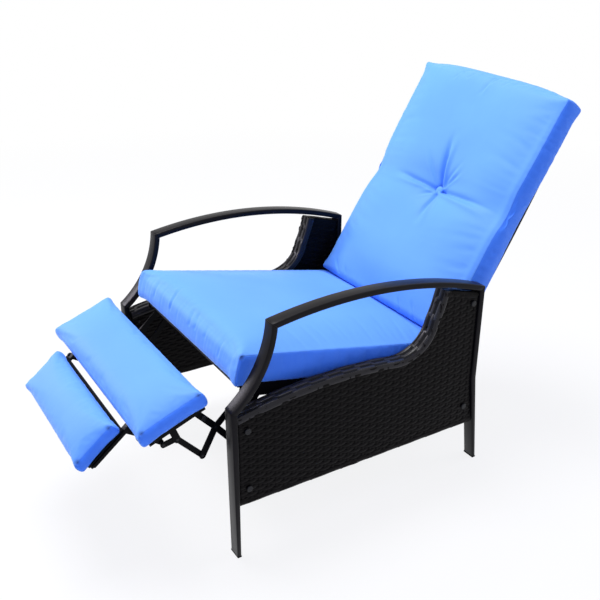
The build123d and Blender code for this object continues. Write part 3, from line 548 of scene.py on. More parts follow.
class Strands:
    """Strips laid one after another into one mesh, each with its own length map and shade."""

    def __init__(self):
        self.bm = bmesh.new()
        self.length_map = self.bm.loops.layers.uv.new("strand")
        self.shade = self.bm.verts.layers.float_color.new("shade")
        self.templates = {}
        self.count = 0

    def lay(self, steps, length, width, place, fine=True):
        """place(share, across, up) gives a point; across and up run from -1 to 1."""
        key = (steps, fine)
        if key not in self.templates:
            self.templates[key] = strand_bar(steps - 1, fine)
        bm = self.bm
        first_vert, first_face = len(bm.verts), len(bm.faces)
        bm.from_mesh(self.templates[key])
        bm.verts.ensure_lookup_table()
        bm.faces.ensure_lookup_table()
        self.count += 1
        tone = 0.5 + 0.5 * noise_at(self.count * TONE_STEP, 0.4, 0.9)
        for face in bm.faces[first_face:]:
            for loop in face.loops:
                x, y, _ = loop.vert.co
                loop[self.length_map].uv = ((x + 0.5) * length, y * width + self.count * MAP_STEP)
        for v in bm.verts[first_vert:]:
            share, across, up = v.co.x + 0.5, v.co.y * 2, v.co.z * 2
            v[self.shade] = (tone, tone, tone, 1.0)
            v.co = place(share, across, up)


def weave_wave(run, pitch):
    """From -1 to 1 along a strip: long flats over and under, with quick crossings between."""
    return tanh(WAVE_FLATNESS * cos(pi * run / pitch)) / tanh(WAVE_FLATNESS)


def level_runs(z, path):
    """Where a level line lies inside the panel, from its front edge to its rear edge."""
    front, rear = panel_front(z), panel_rear(z)
    slope = (SILL_REAR - SILL_FRONT) / (rear - front)
    if z < SILL_FRONT:
        front += (z - SILL_FRONT) / slope
    crossings = sorted(a[0] + (b[0] - a[0]) * (z - a[1]) / (b[1] - a[1])
                       for a, b in zip(path, path[1:]) if (a[1] - z) * (b[1] - z) < 0)
    edges = ([front] if z < FRONT_TOP else []) + crossings + ([rear] if z < REAR_TOP else [])
    return list(zip(edges[::2], edges[1::2]))


def inside_runs(z, path):
    """Where a whole strip, not only its middle line, lies inside the panel."""
    lower, upper = level_runs(z - STRAND_WIDTH / 2, path), level_runs(z + STRAND_WIDTH / 2, path)
    runs = [(max(a, c), min(b, d)) for a, b in lower for c, d in upper]
    return [(a, b) for a, b in runs if b - a > SHORTEST_RUN]


def column_top(y, path):
    """The height of the panel's top edge at a place, or zero beyond it."""
    return max((a[1] + (b[1] - a[1]) * (y - a[0]) / (b[0] - a[0]) for a, b in zip(path, path[1:])
                if a[0] != b[0] and min(a[0], b[0]) <= y <= max(a[0], b[0])), default=0.0)


def edge_round(distance):
    """How far a face rolls back as it nears the panel's edge."""
    return RIM_CORNER * max(0.0, 1 - distance / EDGE_ROUND_REACH) ** 2


def lay_face(strands, path, outer):
    """The plain weave of one face: level rows over and under upright stakes."""
    hand = 1 if outer else -1
    middle = (PANEL_OUTER if outer else PANEL_INNER) - hand * WEAVE_INSET
    low = min(SILL_FRONT, SILL_REAR)
    high = max(p[1] for p in path)
    row = 0
    z = low + ROW_PITCH * FIRST_ROW_SHARE
    while z < high - ROW_PITCH * LAST_ROW_SHARE:
        for front, rear in inside_runs(z, path):
            steps = max(3, round((rear - front) / STRAND_STEP))
            sway = ROW_SWAY * noise_at(row * SWAY_STEP, 4.0, 1.0)

            def place(share, across, up):
                y = front + (rear - front) * share
                wave = weave_wave(y + row * STAKE_PITCH, STAKE_PITCH)
                drift = ROW_DRIFT * noise_at(y * DRIFT_STEPS[0], row * DRIFT_STEPS[1], 8.0)
                out = WEAVE_DEPTH * wave + up * STRAND_DEPTH / 2
                out -= edge_round(min(y - front, rear - y))
                out -= STRIP_CROWN * across * across
                return side_point((y, z + across * STRAND_WIDTH / 2 + drift + sway), middle + hand * out)

            strands.lay(steps, rear - front, STRAND_WIDTH, place)
        row += 1
        z += ROW_PITCH
    slope = (SILL_REAR - SILL_FRONT) / panel_rear(SILL_REAR)
    for stake in range(1, int(panel_rear(0.0) / STAKE_PITCH) + 1):
        y = stake * STAKE_PITCH
        foot = SILL_FRONT + slope * y
        top = column_top(y, path)
        if y > panel_rear(REAR_TOP) - LAST_STAKE_ROOM:
            top = KICK_HEIGHT * (1 - (y - panel_rear(KICK_HEIGHT)) / (KICK - FOOT_DEPTH + TUBE_DEPTH))
        if top - foot < SHORTEST_RUN:
            continue
        steps = max(3, round((top - foot) / (ROW_PITCH / 2)))

        def rise(share, across, up):
            level = foot + (top - foot) * share
            index = (level - low - ROW_PITCH * FIRST_ROW_SHARE) / ROW_PITCH
            wave = -cos(pi * index) * weave_wave(y, STAKE_PITCH)
            out = WEAVE_DEPTH * STAKE_DEPTH_SHARE * wave + up * STRAND_DEPTH / 2
            out -= edge_round(min(level - foot, top - level))
            return side_point((y + across * STAKE_WIDTH / 2, level), middle + hand * out)

        strands.lay(steps, top - foot, STAKE_WIDTH, rise, fine=False)


def lay_rim(strands, path, low_x, swing):
    """Strips that run along an edge, over and under the wraps that cross it."""
    places, total = even_steps(path, RIM_STEP)
    width = PANEL_OUTER - low_x
    frames = []
    for i, place in enumerate(places):
        way = way_along(places, i, 2)
        frames.append((place, way, Vector((-way.y, way.x))))
    across = round((width - RIM_SIDE_ROOM) / RIM_ROW_PITCH)
    top_rows = [(PANEL_OUTER - RIM_FIRST_ROW - (width - RIM_SIDE_ROOM) * i / across, *RIM_TOP_FACING)
                for i in range(across + 1)]
    rows = [(PANEL_OUTER - inset, *facing) for inset, *facing in RIM_OUTER_ROWS] + top_rows
    rows += [(low_x + inset, *facing) for inset, *facing in RIM_INNER_ROWS]
    for index, (x, depth, outward, sideways) in enumerate(rows):
        length = hypot(outward, sideways)
        outward, sideways = outward / length, sideways / length

        def along(share, across, up):
            spot = share * (len(frames) - 1)
            i = min(int(spot), len(frames) - 2)
            t = spot - i
            (p, _, n), (q, _, m) = frames[i], frames[i + 1]
            normal = (n * (1 - t) + m * t).normalized()
            run = share * total + index * WRAP_PITCH + RIM_SHIFT * (index % 3)
            out = swing * weave_wave(run, WRAP_PITCH) + up * STRAND_DEPTH / 2
            out -= STRIP_CROWN * across * across
            wide = across * STRAND_WIDTH * RIM_WIDTH_SHARE
            lift = -depth + out * outward - wide * sideways
            y, z = part_way(p, q, t)
            return side_point((y + normal.x * lift, z + normal.y * lift),
                              x + out * sideways + wide * outward)

        strands.lay(len(places) - 1, total, STRAND_WIDTH, along)
    reach = width / 2 + WRAP_TAIL
    turn = width / 2 - WRAP_CORNER
    for k in range(int(total / WRAP_PITCH)):
        spot = (k + 0.5) * WRAP_PITCH / total * (len(frames) - 1)
        p, way, normal = frames[int(spot)]

        def over(share, across, up):
            run = (share * 2 - 1) * reach
            side = max(-turn, min(turn, run))
            down = max(0.0, abs(run) - turn)
            wave = swing * weave_wave(share * 6 * WRAP_WAVE + k * WRAP_WAVE, WRAP_WAVE)
            out = -WRAP_SINK - wave + up * STRAND_DEPTH / 2
            x = (low_x + PANEL_OUTER) / 2 + side
            if down:
                x += out + WRAP_SINK if side > 0 else -out - WRAP_SINK
            lift = -down + (-2 * WRAP_SINK if down else out)
            wide = across * STAKE_WIDTH * 0.5
            return side_point((p[0] + way.x * wide + normal.x * lift,
                               p[1] + way.y * wide + normal.y * lift), x)

        strands.lay(WRAP_STEPS, 2 * reach, STAKE_WIDTH, over, fine=False)


def build_shade_core(side, name, outline, low_x):
    """A dark sheet inside a panel, just behind the strips that cover it: painted shade for the hollow
    between the two faces of weave.
    """
    bm = bmesh.new()
    face = bm.faces.new([bm.verts.new(side_point(p, low_x + CORE_SETBACK)) for p in outline])
    ops.inset_individual(bm, faces=[face], thickness=CORE_INSET)
    ops.delete(bm, geom=[f for f in bm.faces if f is not face], context="FACES")
    grown = ops.extrude_face_region(bm, geom=[face], use_keep_orig=True)
    ops.translate(bm, verts=new_verts(grown), vec=(PANEL_OUTER - low_x - 2 * CORE_SETBACK, 0, 0))
    ops.delete(bm, geom=[v for v in bm.verts if not v.link_faces], context="VERTS")
    settled(bm, side)
    piece(side + name, bm, "frame", "resin_weave", BOARD, side + "_side_panel",
          smooth_angle=TUBE_SMOOTH)


def rim_section(path):
    """The outline of the thick rim in side view: the top path and the same path set in."""
    places, _ = even_steps(path, RIM_SECTION_STEP)
    inner = []
    for i, place in enumerate(places):
        way = way_along(places, i, 1)
        inner.append((place[0] + way.y * RIM_DEPTH, place[1] - way.x * RIM_DEPTH))
    return places + inner[::-1]


def woven(side, name, lay, *parts, material=STRAND):
    """One piece of weaving, made of all the parts that one function lays."""
    strands = Strands()
    for part in parts:
        lay(strands, *part)
    settled(strands.bm, side)
    piece(side + name, strands.bm, "frame", "resin_weave", material, side + "_side_panel",
          smooth_angle=STRIP_SMOOTH)


def build_side_panels():
    path = panel_top_path()
    curve = path[:-1]
    rim_inner = PANEL_INNER - RIM_OVERHANG
    foot = [(panel_rear(SILL_REAR), SILL_REAR), (panel_front(SILL_FRONT), SILL_FRONT)]
    for side in ("left", "right"):
        # Dark sheets of painted shade inside the panel and inside its rim
        build_shade_core(side, "_panel_shade_core", path + foot, PANEL_INNER)
        build_shade_core(side, "_panel_rim_shade_core", rim_section(curve), rim_inner)
        woven(side, "_outer_weave", lay_face, (path, True))
        woven(side, "_inner_weave", lay_face, (path, False))
        woven(side, "_panel_top_rim", lay_rim, (curve, rim_inner, RIM_SWING), material=RIM_STRAND)
        woven(side, "_panel_edge_wrap", lay_rim, (path[-2:], PANEL_INNER, REAR_SWING),
              (foot, PANEL_INNER, FOOT_SWING))


build_side_panels()


# Cushions

COVER_CELL = 0.0062
EDGE_DENSITY = 0.22
PINCH_REACH = 0.045
DRAW_REACH = PINCH_REACH * 1.1
CORNER_RADIUS = 0.009
CROWN_POWER = 3.0
CROWN_END_SHARE = 0.8
ARCH_RUN = 0.16
SKEW_RUN = 0.30
BELLY_RUN = 0.06
BELLY_SIDE = 0.05
CAP = 0.014
SLIDE = 0.002
SIM_FRAMES = 20
CLOTH_SETTINGS = {
    "quality": 5, "mass": 0.25, "tension_stiffness": 25.0, "compression_stiffness": 25.0,
    "shear_stiffness": 8.0, "bending_stiffness": 0.4, "shrink_min": -0.006, "use_pressure": True,
    "uniform_pressure_force": 4.0, "vertex_group_mass": "held",
}
LONG_REACH = 0.20
BOARD_REACH = 0.09
FOLD_SPAN = 5
FOLD_FADE = 0.6
FOLD_OPENING = (0.6, 0.8)
FOLD_SHARPNESS = 1.35
RIDGE_PLACE = 2.1
UPPER_FACE = 0.05
# Gathers along a seam: how fine they are along and away from it, and how far they reach
GATHERS = (62.0, 9.0)
FINE_GATHERS = (140.0, 20.0)
GATHER_REACH = 0.020
BROAD_GATHERS = 7.0
BROAD_SHARE = 1.2
BROAD_START = 0.05
STITCH_RADIUS = 0.0055
STITCH_DEPTH = 0.0035
STITCH_LEAST = 0.02
# Where the back cushion presses the seat's rear end flat
PRESS_START = 0.075
PRESS_RUN = 0.045
PRESS_LEVEL = 0.001
TAIL_START = 0.020
TAIL_RUN = 0.018
TAIL_LEVEL = 0.040
TAIL_DROP = 0.0035
# How far the seat's lower front edge hangs
DROOP_START = 0.060
DROOP_RUN = 0.045
DROOP = 0.0055

# Width, length and height of the covers
SEAT_SIZE = (0.574, 0.648, 0.075)
BACK_SIZE = (0.574, 0.700, 0.088)
BOARD_CELL = COVER_CELL * 0.8
UNDERSIDE = 0.004
BACK_HELD_BELOW = -0.060
# Where the back cushion starts above the hinge, and how far its face stands out from it
BACK_START = 0.005
BACK_PROUD = 0.0313
# A stitched seam: how wide and how deep
SEAM = (0.0011, 0.0017)
BOARD_SEAM = (0.0009, 0.0010)
SEAT_FOLD_WIDTH = 0.0042
STITCH_LEVEL = -0.006
# How the swelling fades: towards the covered end, and towards the underside
SEAT_CALM = (0.10, 0.03)
BACK_CALM = (0.12, 0.05)
BACK_CALM_START = -0.01
BOARD_CALM = 0.02
BOARD_SWELL = 0.8

BUTTON = (0.012, 0.357)
BUTTON_RADIUS = 0.0125
BUTTON_FLATNESS = 0.42
BUTTON_SINK = 0.0145
TUFT_DEPTH = 0.034
TUFT_WIDTH = 0.050
TUFT_SPREAD = 0.024
TUFT_SHARPNESS = 1.1
CHANNEL_DEPTH = 0.012
CHANNEL_WIDTH = 0.050
# Where two changes of the tuft begin, and their reach
TUFT_EASE = (-0.02, 0.06)
CHANNEL_EASE = (0.1, 0.5)

# Folds off the seat's front seam: a line and its depth
SEAT_FOLDS = (
    (((-0.080, -0.004), (-0.088, 0.012), (-0.104, 0.044)), 0.0034),
    (((0.036, -0.004), (0.012, 0.024)), 0.0024),
    (((0.068, -0.004), (0.050, 0.012), (0.034, 0.030)), 0.0026),
    (((0.122, -0.004), (0.102, 0.016)), 0.0020),
    (((0.196, -0.004), (0.188, 0.018)), 0.0018),
    (((-0.180, -0.004), (-0.196, 0.022)), 0.0016),
)
# Folds out of the tuft: where one ends, its depth and width, and the side of its ridge
TUFT_FOLDS = (
    ((0.258, 0.357), 0.0120, 0.0080, -1),
    ((-0.190, 0.366), 0.0115, 0.0070, 1),
    ((-0.010, 0.530), 0.0150, 0.0080, -1),
    ((0.022, 0.230), 0.0100, 0.0080, 1),
    ((0.090, 0.430), 0.0055, 0.0038, -1),
    ((0.079, 0.465), 0.0030, 0.0045, -1),
    ((-0.081, 0.470), 0.0040, 0.0060, 1),
    ((-0.048, 0.313), 0.0028, 0.0035, 1),
    ((-0.066, 0.340), 0.0022, 0.0035, 1),
)
# Folds off the back cushion's top and bottom seams: a line, its depth and its width
BACK_FOLDS = (
    (((-0.110, 0.694), (-0.126, 0.662)), 0.0026, 0.0040),
    (((-0.058, 0.700), (-0.075, 0.674)), 0.0030, 0.0040),
    (((0.020, 0.700), (0.012, 0.655), (0.002, 0.628)), 0.0038, 0.0048),
    (((0.034, 0.698), (0.018, 0.668)), 0.0028, 0.0038),
    (((0.078, 0.698), (0.062, 0.672)), 0.0024, 0.0040),
    (((-0.196, 0.010), (-0.234, 0.052)), 0.0030, 0.0045),
    (((-0.150, 0.008), (-0.176, 0.040)), 0.0022, 0.0040),
    (((0.104, 0.006), (0.080, 0.046)), 0.0030, 0.0045),
    (((0.166, 0.006), (0.138, 0.050)), 0.0028, 0.0045),
    (((0.010, 0.006), (-0.012, 0.036)), 0.0018, 0.0040),
)


def box_cover(width, length, height, cell):
    """A grid of quads over a box, denser at its edges, with its seams and cloth coordinates."""
    bm = cut_cube([max(3, round(size / cell) - 1) for size in (width, length, height)])
    cloth_map = bm.loops.layers.uv.new("cloth")
    painted_band_shade = bm.loops.layers.float_color.new("painted_band_shade")
    bm.normal_update()
    for v in bm.verts:
        for axis, size in ((0, width), (1, length)):
            t = 2 * v.co[axis]
            v.co[axis] = 0.5 * size * (t * (1 + EDGE_DENSITY) - EDGE_DENSITY * t ** 3)
        v.co.y += length / 2
        v.co.z = (v.co.z - 0.5) * height
    for edge in bm.edges:
        a, b = (face.normal for face in edge.link_faces)
        edge.seam = abs(a.x - b.x) > 0.5
    # Marks the side band faces, which the cloth paints darker as painted shade; the mark also picks
    # their cloth coordinates
    for face in bm.faces:
        on_band = 1.0 if abs(face.normal.x) > 0.5 else 0.0
        for loop in face.loops:
            x, y, z = loop.vert.co
            loop[painted_band_shade] = (on_band, on_band, on_band, 1.0)
            if on_band:
                loop[cloth_map].uv = (y, z + 2 * width)
            elif abs(face.normal.y) > 0.5:
                loop[cloth_map].uv = (x, y + z)
            else:
                loop[cloth_map].uv = (x, y + (0 if face.normal.z > 0 else 2 * length))
    return bm


def eased(base, full, distance, reach):
    return base + (full - base) * smooth(distance / reach)


def rise_from_edge(distance, reach):
    return 1 - (1 - min(distance / reach, 1.0)) ** CROWN_POWER


def shape_cover(bm, width, length, height, roll, side_roll, crown, reach, draw=0.0, bulge=0.003,
                end_height=None, waist=None, arch=0.0, skew=0.0, far_roll=None, belly=0.0):
    """Round the box into a stuffed cover: rolled edges, pinched corners, crown and bulging bands."""
    half = width / 2
    for v in bm.verts:
        x, y, z = v.co
        side = half - abs(x)
        end = min(y, length - y)
        rx = eased(CORNER_RADIUS, side_roll, end, PINCH_REACH)
        end_roll = roll if far_roll is None or y < length / 2 else far_roll
        ry = eased(CORNER_RADIUS, end_roll, side, PINCH_REACH)
        rz = ry if end * rx < side * ry else rx
        core = Vector((min(max(x, rx - half), half - rx), min(max(y, ry), length - ry),
                       min(max(z, rz - height), -rz)))
        u = Vector(((x - core.x) / rx, (y - core.y) / ry, (z - core.z) / rz))
        if u.length > SAME_LEVEL:
            u *= max(map(abs, u)) / u.length
        x, y, z = core.x + u.x * rx, core.y + u.y * ry, core.z + u.z * rz
        level = (z + height) / height
        gain = rise_from_edge(side, reach) * rise_from_edge(end, reach * CROWN_END_SHARE)
        z += crown * gain * max(level, 0.0)
        swell = bulge * max(1 - (2 * level - 1) ** 2, 0.0)
        pull = draw * smooth(end / DRAW_REACH)
        x -= (pull - swell) * (x / half)
        pull = draw * smooth(side / DRAW_REACH)
        y += (pull - swell) * (1 - 2 * y / length)
        y -= belly * swell / bulge * smooth(1 - y / BELLY_RUN) * smooth(side / BELLY_SIDE)
        if waist:
            place, depth, spread = waist
            x -= depth * (x / half) * bell((y - place) / spread)
        y += arch * (1 - (x / half) ** 4) * smooth((y - length + ARCH_RUN) / ARCH_RUN)
        y -= skew * x / half * smooth((y - length + SKEW_RUN) / SKEW_RUN)
        if end_height:
            z *= 1 + (end_height / height - 1) * y / length
        v.co = (x, y, z)


def cloth_puffed(bm, held_below, room):
    """Blow the cover up as cloth between its seams, close to the shape it was cut in."""
    start = [(v.co.copy(), v.normal.copy()) for v in bm.verts]
    mesh = bpy.data.meshes.new("cover")
    bm.to_mesh(mesh)
    cover = placed("cover", mesh)
    group = cover.vertex_groups.new(name="held")
    sewn = {v.index for e in bm.edges if e.seam for v in e.verts}
    group.add([v.index for v in bm.verts if v.co.z < held_below or v.index in sewn], 1.0, "ADD")
    cloth = cover.modifiers.new("cloth", "CLOTH")
    for setting, value in CLOTH_SETTINGS.items():
        setattr(cloth.settings, setting, value)
    cloth.settings.effector_weights.gravity = 0.0
    cloth.point_cache.frame_end = SIM_FRAMES
    for step in range(1, SIM_FRAMES + 1):
        scene.frame_set(step)
    shaped = cover.evaluated_get(bpy.context.evaluated_depsgraph_get())
    moved = [v.co.copy() for v in shaped.data.vertices]
    bpy.data.objects.remove(cover)
    bpy.data.meshes.remove(mesh)
    scene.frame_set(1)
    for v, (was, normal), now in zip(bm.verts, start, moved):
        shift = now - was
        out = shift.dot(normal)
        slide = shift - normal * out
        if slide.length > SAME_LEVEL:
            slide *= SLIDE / (SLIDE + slide.length)
        out = CAP * tanh(out / CAP) if out > 0 else -SLIDE * tanh(-out / SLIDE)
        v.co = was + (normal * out + slide) * room(was)


def refined(bm):
    """One level of Catmull-Clark, with seams and cloth coordinates carried over."""
    mesh = mesh_from("coarse", bm)
    coarse = placed("coarse", mesh)
    level = coarse.modifiers.new("level", "SUBSURF")
    level.levels = level.render_levels = 1
    fine = bpy.data.meshes.new_from_object(
        coarse.evaluated_get(bpy.context.evaluated_depsgraph_get()))
    grown = bmesh.new()
    grown.from_mesh(fine)
    bpy.data.objects.remove(coarse)
    for used in (mesh, fine):
        bpy.data.meshes.remove(used)
    grown.normal_update()
    return grown


def nearest_on_line(points, x, y):
    """Distance to a drawn line, the share along it, and which side of it the place is on."""
    best = (inf, 0.0, 1.0)
    total = sum(span(a, b) for a, b in zip(points, points[1:]))
    run = 0.0
    for a, b in zip(points, points[1:]):
        dx, dy = b[0] - a[0], b[1] - a[1]
        length = hypot(dx, dy)
        t = min(max(((x - a[0]) * dx + (y - a[1]) * dy) / length ** 2, 0.0), 1.0)
        away = hypot(x - a[0] - t * dx, y - a[1] - t * dy)
        if away < best[0]:
            hand = 1.0 if dx * (y - a[1]) - dy * (x - a[0]) > 0 else -1.0
            best = (away, (run + t * length) / total, hand)
        run += length
    return best


def crease(bm, points, depth, width, ridge=0.35, side=1):
    """Press a fold into the upper face along a line, with a soft ridge beside it."""
    around = FOLD_SPAN * width
    low, high = ([pick(axis) + hand * around for axis in zip(*points)]
                 for pick, hand in ((min, -1), (max, 1)))
    for v in bm.verts:
        x, y, _ = v.co
        if v.normal.z < UPPER_FACE or not (low[0] < x < high[0] and low[1] < y < high[1]):
            continue
        away, share, hand = nearest_on_line(points, x, y)
        fade = smooth(min(1.0, (1 - share) / FOLD_FADE))
        wide = width * (FOLD_OPENING[0] + FOLD_OPENING[1] * share)
        drop = depth * bell(away / wide, FOLD_SHARPNESS)
        lift = depth * ridge * bell((away - RIDGE_PLACE * wide) / wide) * (0.5 + 0.5 * side * hand)
        v.co -= v.normal * (drop - lift) * fade


def seam_groove(bm, width, depth):
    """Sink a stitched seam along the marked edges: a bevel whose middle line is pulled in."""
    made = rounded(bm, [e for e in bm.edges if e.seam], width, 2)
    ring = set(made["faces"])
    bm.normal_update()
    for v in made["verts"]:
        if len(v.link_faces) > 2 and all(f in ring for f in v.link_faces):
            v.co -= v.normal * depth


def pucker(bm, width, length, amount, seed):
    """Small gathers that run off the seams, strongest at the stitching."""
    for v in bm.verts:
        side = width / 2 - abs(v.co.x)
        end = min(v.co.y, length - v.co.y)
        near = min(side, end)
        along = v.co.y if side < end else v.co.x
        gather = noise_at(along * GATHERS[0], near * GATHERS[1], seed)
        gather += 0.5 * noise_at(along * FINE_GATHERS[0], near * FINE_GATHERS[1], seed + 7.0)
        v.co += v.normal * amount * gather * bell(abs(near) / GATHER_REACH, 1)
        broad = noise_at(v.co.x * BROAD_GATHERS, v.co.y * BROAD_GATHERS, seed + 3.0)
        v.co += v.normal * amount * BROAD_SHARE * broad * smooth(near / BROAD_START)


def stitch_corners(bm, width, places):
    """The pinched stitching where a side seam turns a corner: pushed in, and marked for the dark painted
    shade that the cloth puts in its hollow.
    """
    painted_stitch_shade = bm.verts.layers.float.new("painted_stitch_shade")
    for v in bm.verts:
        for y in places:
            away = Vector((abs(v.co.x) - width / 2, v.co.y - y, v.co.z - STITCH_LEVEL)).length
            pinch = bell(away / STITCH_RADIUS)
            if pinch > STITCH_LEAST:
                v[painted_stitch_shade] = max(v[painted_stitch_shade], pinch)
                v.co -= v.normal * STITCH_DEPTH * pinch


def set_in_frame(bm, corner, run, rise):
    """Bring a cushion from its own axes to its place: Y along its run, Z out of its face."""
    run, rise = Vector((0, *run)), Vector((0, *rise))
    across = run.cross(rise)
    place = Matrix((across, run, rise)).transposed().to_4x4()
    place.translation = side_point(corner)
    ops.transform(bm, matrix=place, verts=bm.verts[:])


def from_corner(corner, run, ahead, rise, up):
    return [c + r * ahead + u * up for c, r, u in zip(corner, run, rise)]


def flatten_tail(bm, length):
    """The back cushion presses on the seat's rear end, which stays flat under it."""
    for v in bm.verts:
        press = smooth((v.co.y - length + PRESS_START) / PRESS_RUN)
        if v.co.z > -PRESS_LEVEL:
            v.co.z -= press * (v.co.z + PRESS_LEVEL)
        if v.co.z > -TAIL_LEVEL:
            v.co.z -= TAIL_DROP * smooth((v.co.y - length + TAIL_START) / TAIL_RUN)


def stuffed(size, held_below, room, cell=COVER_CELL, **shape):
    """A sewn cover, shaped and blown up, held still below a level."""
    bm = box_cover(*size, cell)
    shape_cover(bm, *size, **shape)
    bm.normal_update()
    cloth_puffed(bm, held_below, room)
    return bm


def build_seat_cushion():
    width, length, height = SEAT_SIZE

    def room(p):
        return smooth((length - p.y) / SEAT_CALM[0]) * smooth((p.z + height) / SEAT_CALM[1])

    bm = stuffed(SEAT_SIZE, -height + UNDERSIDE, room,
                 roll=0.024, side_roll=0.008, crown=0.013, reach=LONG_REACH, draw=0.002, far_roll=0.008)
    flatten_tail(bm, length)
    for v in bm.verts:
        hang = min(max(-v.co.z / height, 0.0), 1.0)
        v.co.z -= DROOP * smooth((DROOP_START - v.co.y) / DROOP_RUN) * hang
    bm = refined(bm)
    pucker(bm, width, length, amount=0.0011, seed=3.0)
    for points, depth in SEAT_FOLDS:
        crease(bm, points, depth, SEAT_FOLD_WIDTH)
    seam_groove(bm, *SEAM)
    stitch_corners(bm, width - 0.006, [0.008])
    run, rise = turned((1, 0), -SEAT_SLOPE), turned((0, 1), -SEAT_SLOPE)
    set_in_frame(bm, from_corner(SEAT_FRONT, run, 0, rise, height), run, rise)
    piece("seat_pad", bm, "frame", "cushion_cloth", CLOTH, "seat_cushion")


def sink_tuft(bm):
    """The hollow round the button and the shallow channel across the cushion through it."""
    for v in bm.verts:
        if v.normal.z > UPPER_FACE:
            up = v.co.y - BUTTON[1]
            away = hypot(v.co.x - BUTTON[0], up)
            channel = CHANNEL_DEPTH * bell(up / CHANNEL_WIDTH)
            wide = TUFT_WIDTH + TUFT_SPREAD * smooth((up - TUFT_EASE[0]) / TUFT_EASE[1])
            hollow = TUFT_DEPTH * bell(away / wide, TUFT_SHARPNESS)
            v.co.z -= hollow + channel * smooth((v.normal.z - CHANNEL_EASE[0]) / CHANNEL_EASE[1])


def build_back_cushion():
    width, length, height = BACK_SIZE

    def room(p):
        return smooth((p.y - BACK_CALM_START) / BACK_CALM[0]) * smooth((p.z + height) / BACK_CALM[1])

    bm = stuffed(BACK_SIZE, BACK_HELD_BELOW, room,
                 roll=0.015, side_roll=0.021, crown=0.013, reach=LONG_REACH, draw=0.002,
                 end_height=0.068, waist=(BUTTON[1], 0.006, 0.11), arch=0.020, skew=0.010,
                 far_roll=0.022, belly=0.005)
    bm = refined(bm)
    pucker(bm, width, length, amount=0.0012, seed=11.0)
    sink_tuft(bm)
    bm.normal_update()
    for end, depth, wide, side in TUFT_FOLDS:
        crease(bm, (BUTTON, end), depth, wide, ridge=0.42, side=side)
    for points, depth, wide in BACK_FOLDS:
        crease(bm, points, depth, wide)
    seam_groove(bm, *SEAM)
    run, rise = turned((0, 1), -BACK_LEAN), turned((-1, 0), -BACK_LEAN)
    corner = from_corner(HINGE, run, BACK_START, rise, BACK_PROUD)
    set_in_frame(bm, corner, run, rise)
    piece("back_pad", bm, "backrest", "cushion_cloth", CLOTH, "back_cushion")

    bm = bmesh.new()
    ops.create_uvsphere(bm, u_segments=32, v_segments=16, radius=BUTTON_RADIUS)
    ops.scale(bm, verts=bm.verts[:], vec=(1, 1, BUTTON_FLATNESS))
    bm.loops.layers.uv.new("cloth")
    ops.translate(bm, verts=bm.verts[:], vec=(*BUTTON, -BUTTON_SINK))
    set_in_frame(bm, corner, run, rise)
    piece("back_tuft_button", bm, "backrest", "cushion_cloth", CLOTH, "back_button")


def build_board_cushion(name, body, node, corner, slope, size, crown, seed):
    width, length, height = size
    bm = stuffed(size, -height + UNDERSIDE,
                 lambda p: BOARD_SWELL * smooth((p.z + height) / BOARD_CALM),
                 BOARD_CELL, roll=0.013, side_roll=0.013, crown=crown, reach=BOARD_REACH, draw=0.003,
                 bulge=0.004)
    bm = refined(bm)
    pucker(bm, width, length, 0.0010, seed)
    seam_groove(bm, *BOARD_SEAM)
    stitch_corners(bm, width - 0.010, [0.010, length - 0.010])
    run, rise = turned((-1, 0), slope), turned((0, 1), slope)
    set_in_frame(bm, corner, run, rise)
    piece(name, bm, body, "cushion_cloth", CLOTH, node)


build_seat_cushion()
build_back_cushion()
build_board_cushion("footrest_pad", "footrest", "footrest_cushion", FOOTREST_CORNER, FOOTREST_SLOPE,
                    (0.590, 0.166, 0.043), 0.011, 21.0)
build_board_cushion("flipper_pad", "flipper", "flipper_cushion", FLIPPER_CORNER, FLIPPER_SLOPE,
                    (0.404, 0.120, 0.036), 0.009, 33.0)


# Camera, light and floor

CAMERA_PLACE = side_point((-0.666, 1.398), 1.687)
CAMERA_TURN = (90 - 25.37, 0.05, 57.94)
CAMERA_LENS = 48.56
FLOOR_SIZE = 40.0
# Each light: its place, the point it looks at, its size, its power and its colour
LIGHTS = {
    "key": ((-0.9, -0.4, 4.1), (0, -0.05, 0.45), 2.2, 150.0, (1, 1, 1)),
    "gleam": ((-2.4, -1.85, 1.55), (0, -0.1, 0.45), 1.1, 44.0, (0.93, 0.89, 1.0)),
    "fill": ((2.6, -1.6, 2.0), (0, 0, 0.45), 2.4, 17.0, (0.33, 0.46, 1.0)),
    "rim": ((0.9, 2.8, 2.6), (0, 0, 0.5), 2.0, 26.0, (1, 1, 1)),
}


def seen_directly(tree):
    """One where a camera, glossy or transmission ray looks, and zero for light that bounces."""
    path = add_node(tree, "LightPath")
    first = worked_out(tree, "MAXIMUM", path["Is Camera Ray"], path["Is Glossy Ray"])
    return worked_out(tree, "MAXIMUM", first, path["Is Transmission Ray"])


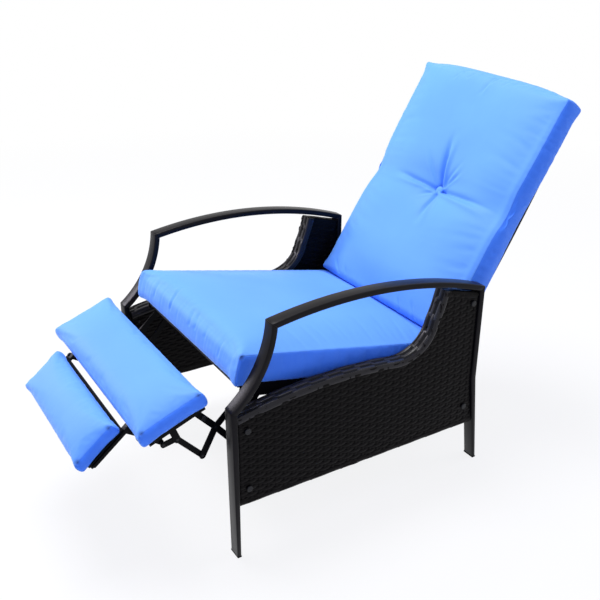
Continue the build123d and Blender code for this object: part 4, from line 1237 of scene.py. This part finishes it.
def build_world():
    world = bpy.data.worlds.new("studio")
    scene.world = world
    world.use_nodes = True
    tree = world.node_tree
    strength = add_node(tree, "MapRange", {"Value": seen_directly(tree), "To Min": 0.46,
                                           "To Max": 1.0})["Result"]
    tint = add_node(tree, "MixRGB", {"Fac": strength, "Color1": (0.16, 0.27, 1.0, 1.0),
                                     "Color2": (1, 1, 1, 1)})["Color"]
    feed(tree, tree.nodes["Background"], {"Strength": strength, "Color": tint})


def build_floor():
    """A pale floor that shows as plain white far out and a little darker under the chair."""
    bm = bmesh.new()
    ops.create_grid(bm, x_segments=1, y_segments=1, size=FLOOR_SIZE)
    floor = placed("floor", mesh_from("floor", bm))
    material, tree, shader = node_tree("pale_floor")
    feed(tree, shader, {"Base Color": (0.88, 0.88, 0.88, 1), "Roughness": 0.9})
    glow = add_node(tree, "Emission", {"Color": (1, 1, 1, 1), "Strength": 1.0})["Emission"]
    away = add_node(tree, "VectorMath", {0: add_node(tree, "TexCoord")["Object"]},
                    operation="LENGTH")["Value"]
    spread = add_node(tree, "MapRange", {"Value": away, "From Min": 0.9, "From Max": 4.0,
                                         "To Min": 0.85, "To Max": 1.0})["Result"]
    share = worked_out(tree, "MULTIPLY", seen_directly(tree), spread)
    mix = add_node(tree, "MixShader", {"Fac": share, 1: shader.outputs["BSDF"], 2: glow})["Shader"]
    feed(tree, tree.nodes["Material Output"], {"Surface": mix})
    floor.data.materials.append(material)


def build_lights():
    for name, (place, target, size, power, colour) in LIGHTS.items():
        light = bpy.data.lights.new(name, "AREA")
        light.shape = "DISK"
        light.size = size
        light.energy = power
        light.color = colour
        obj = placed(name, light)
        obj.location = place
        obj.rotation_euler = (Vector(target) - obj.location).to_track_quat("-Z", "Y").to_euler()


def build_camera():
    camera = bpy.data.cameras.new("camera")
    camera.lens = CAMERA_LENS
    obj = placed("camera", camera)
    obj.location = CAMERA_PLACE
    obj.rotation_euler = [radians(angle) for angle in CAMERA_TURN]
    scene.camera = obj
    scene.view_settings.view_transform = "Standard"


build_world()
build_floor()
build_lights()
build_camera()
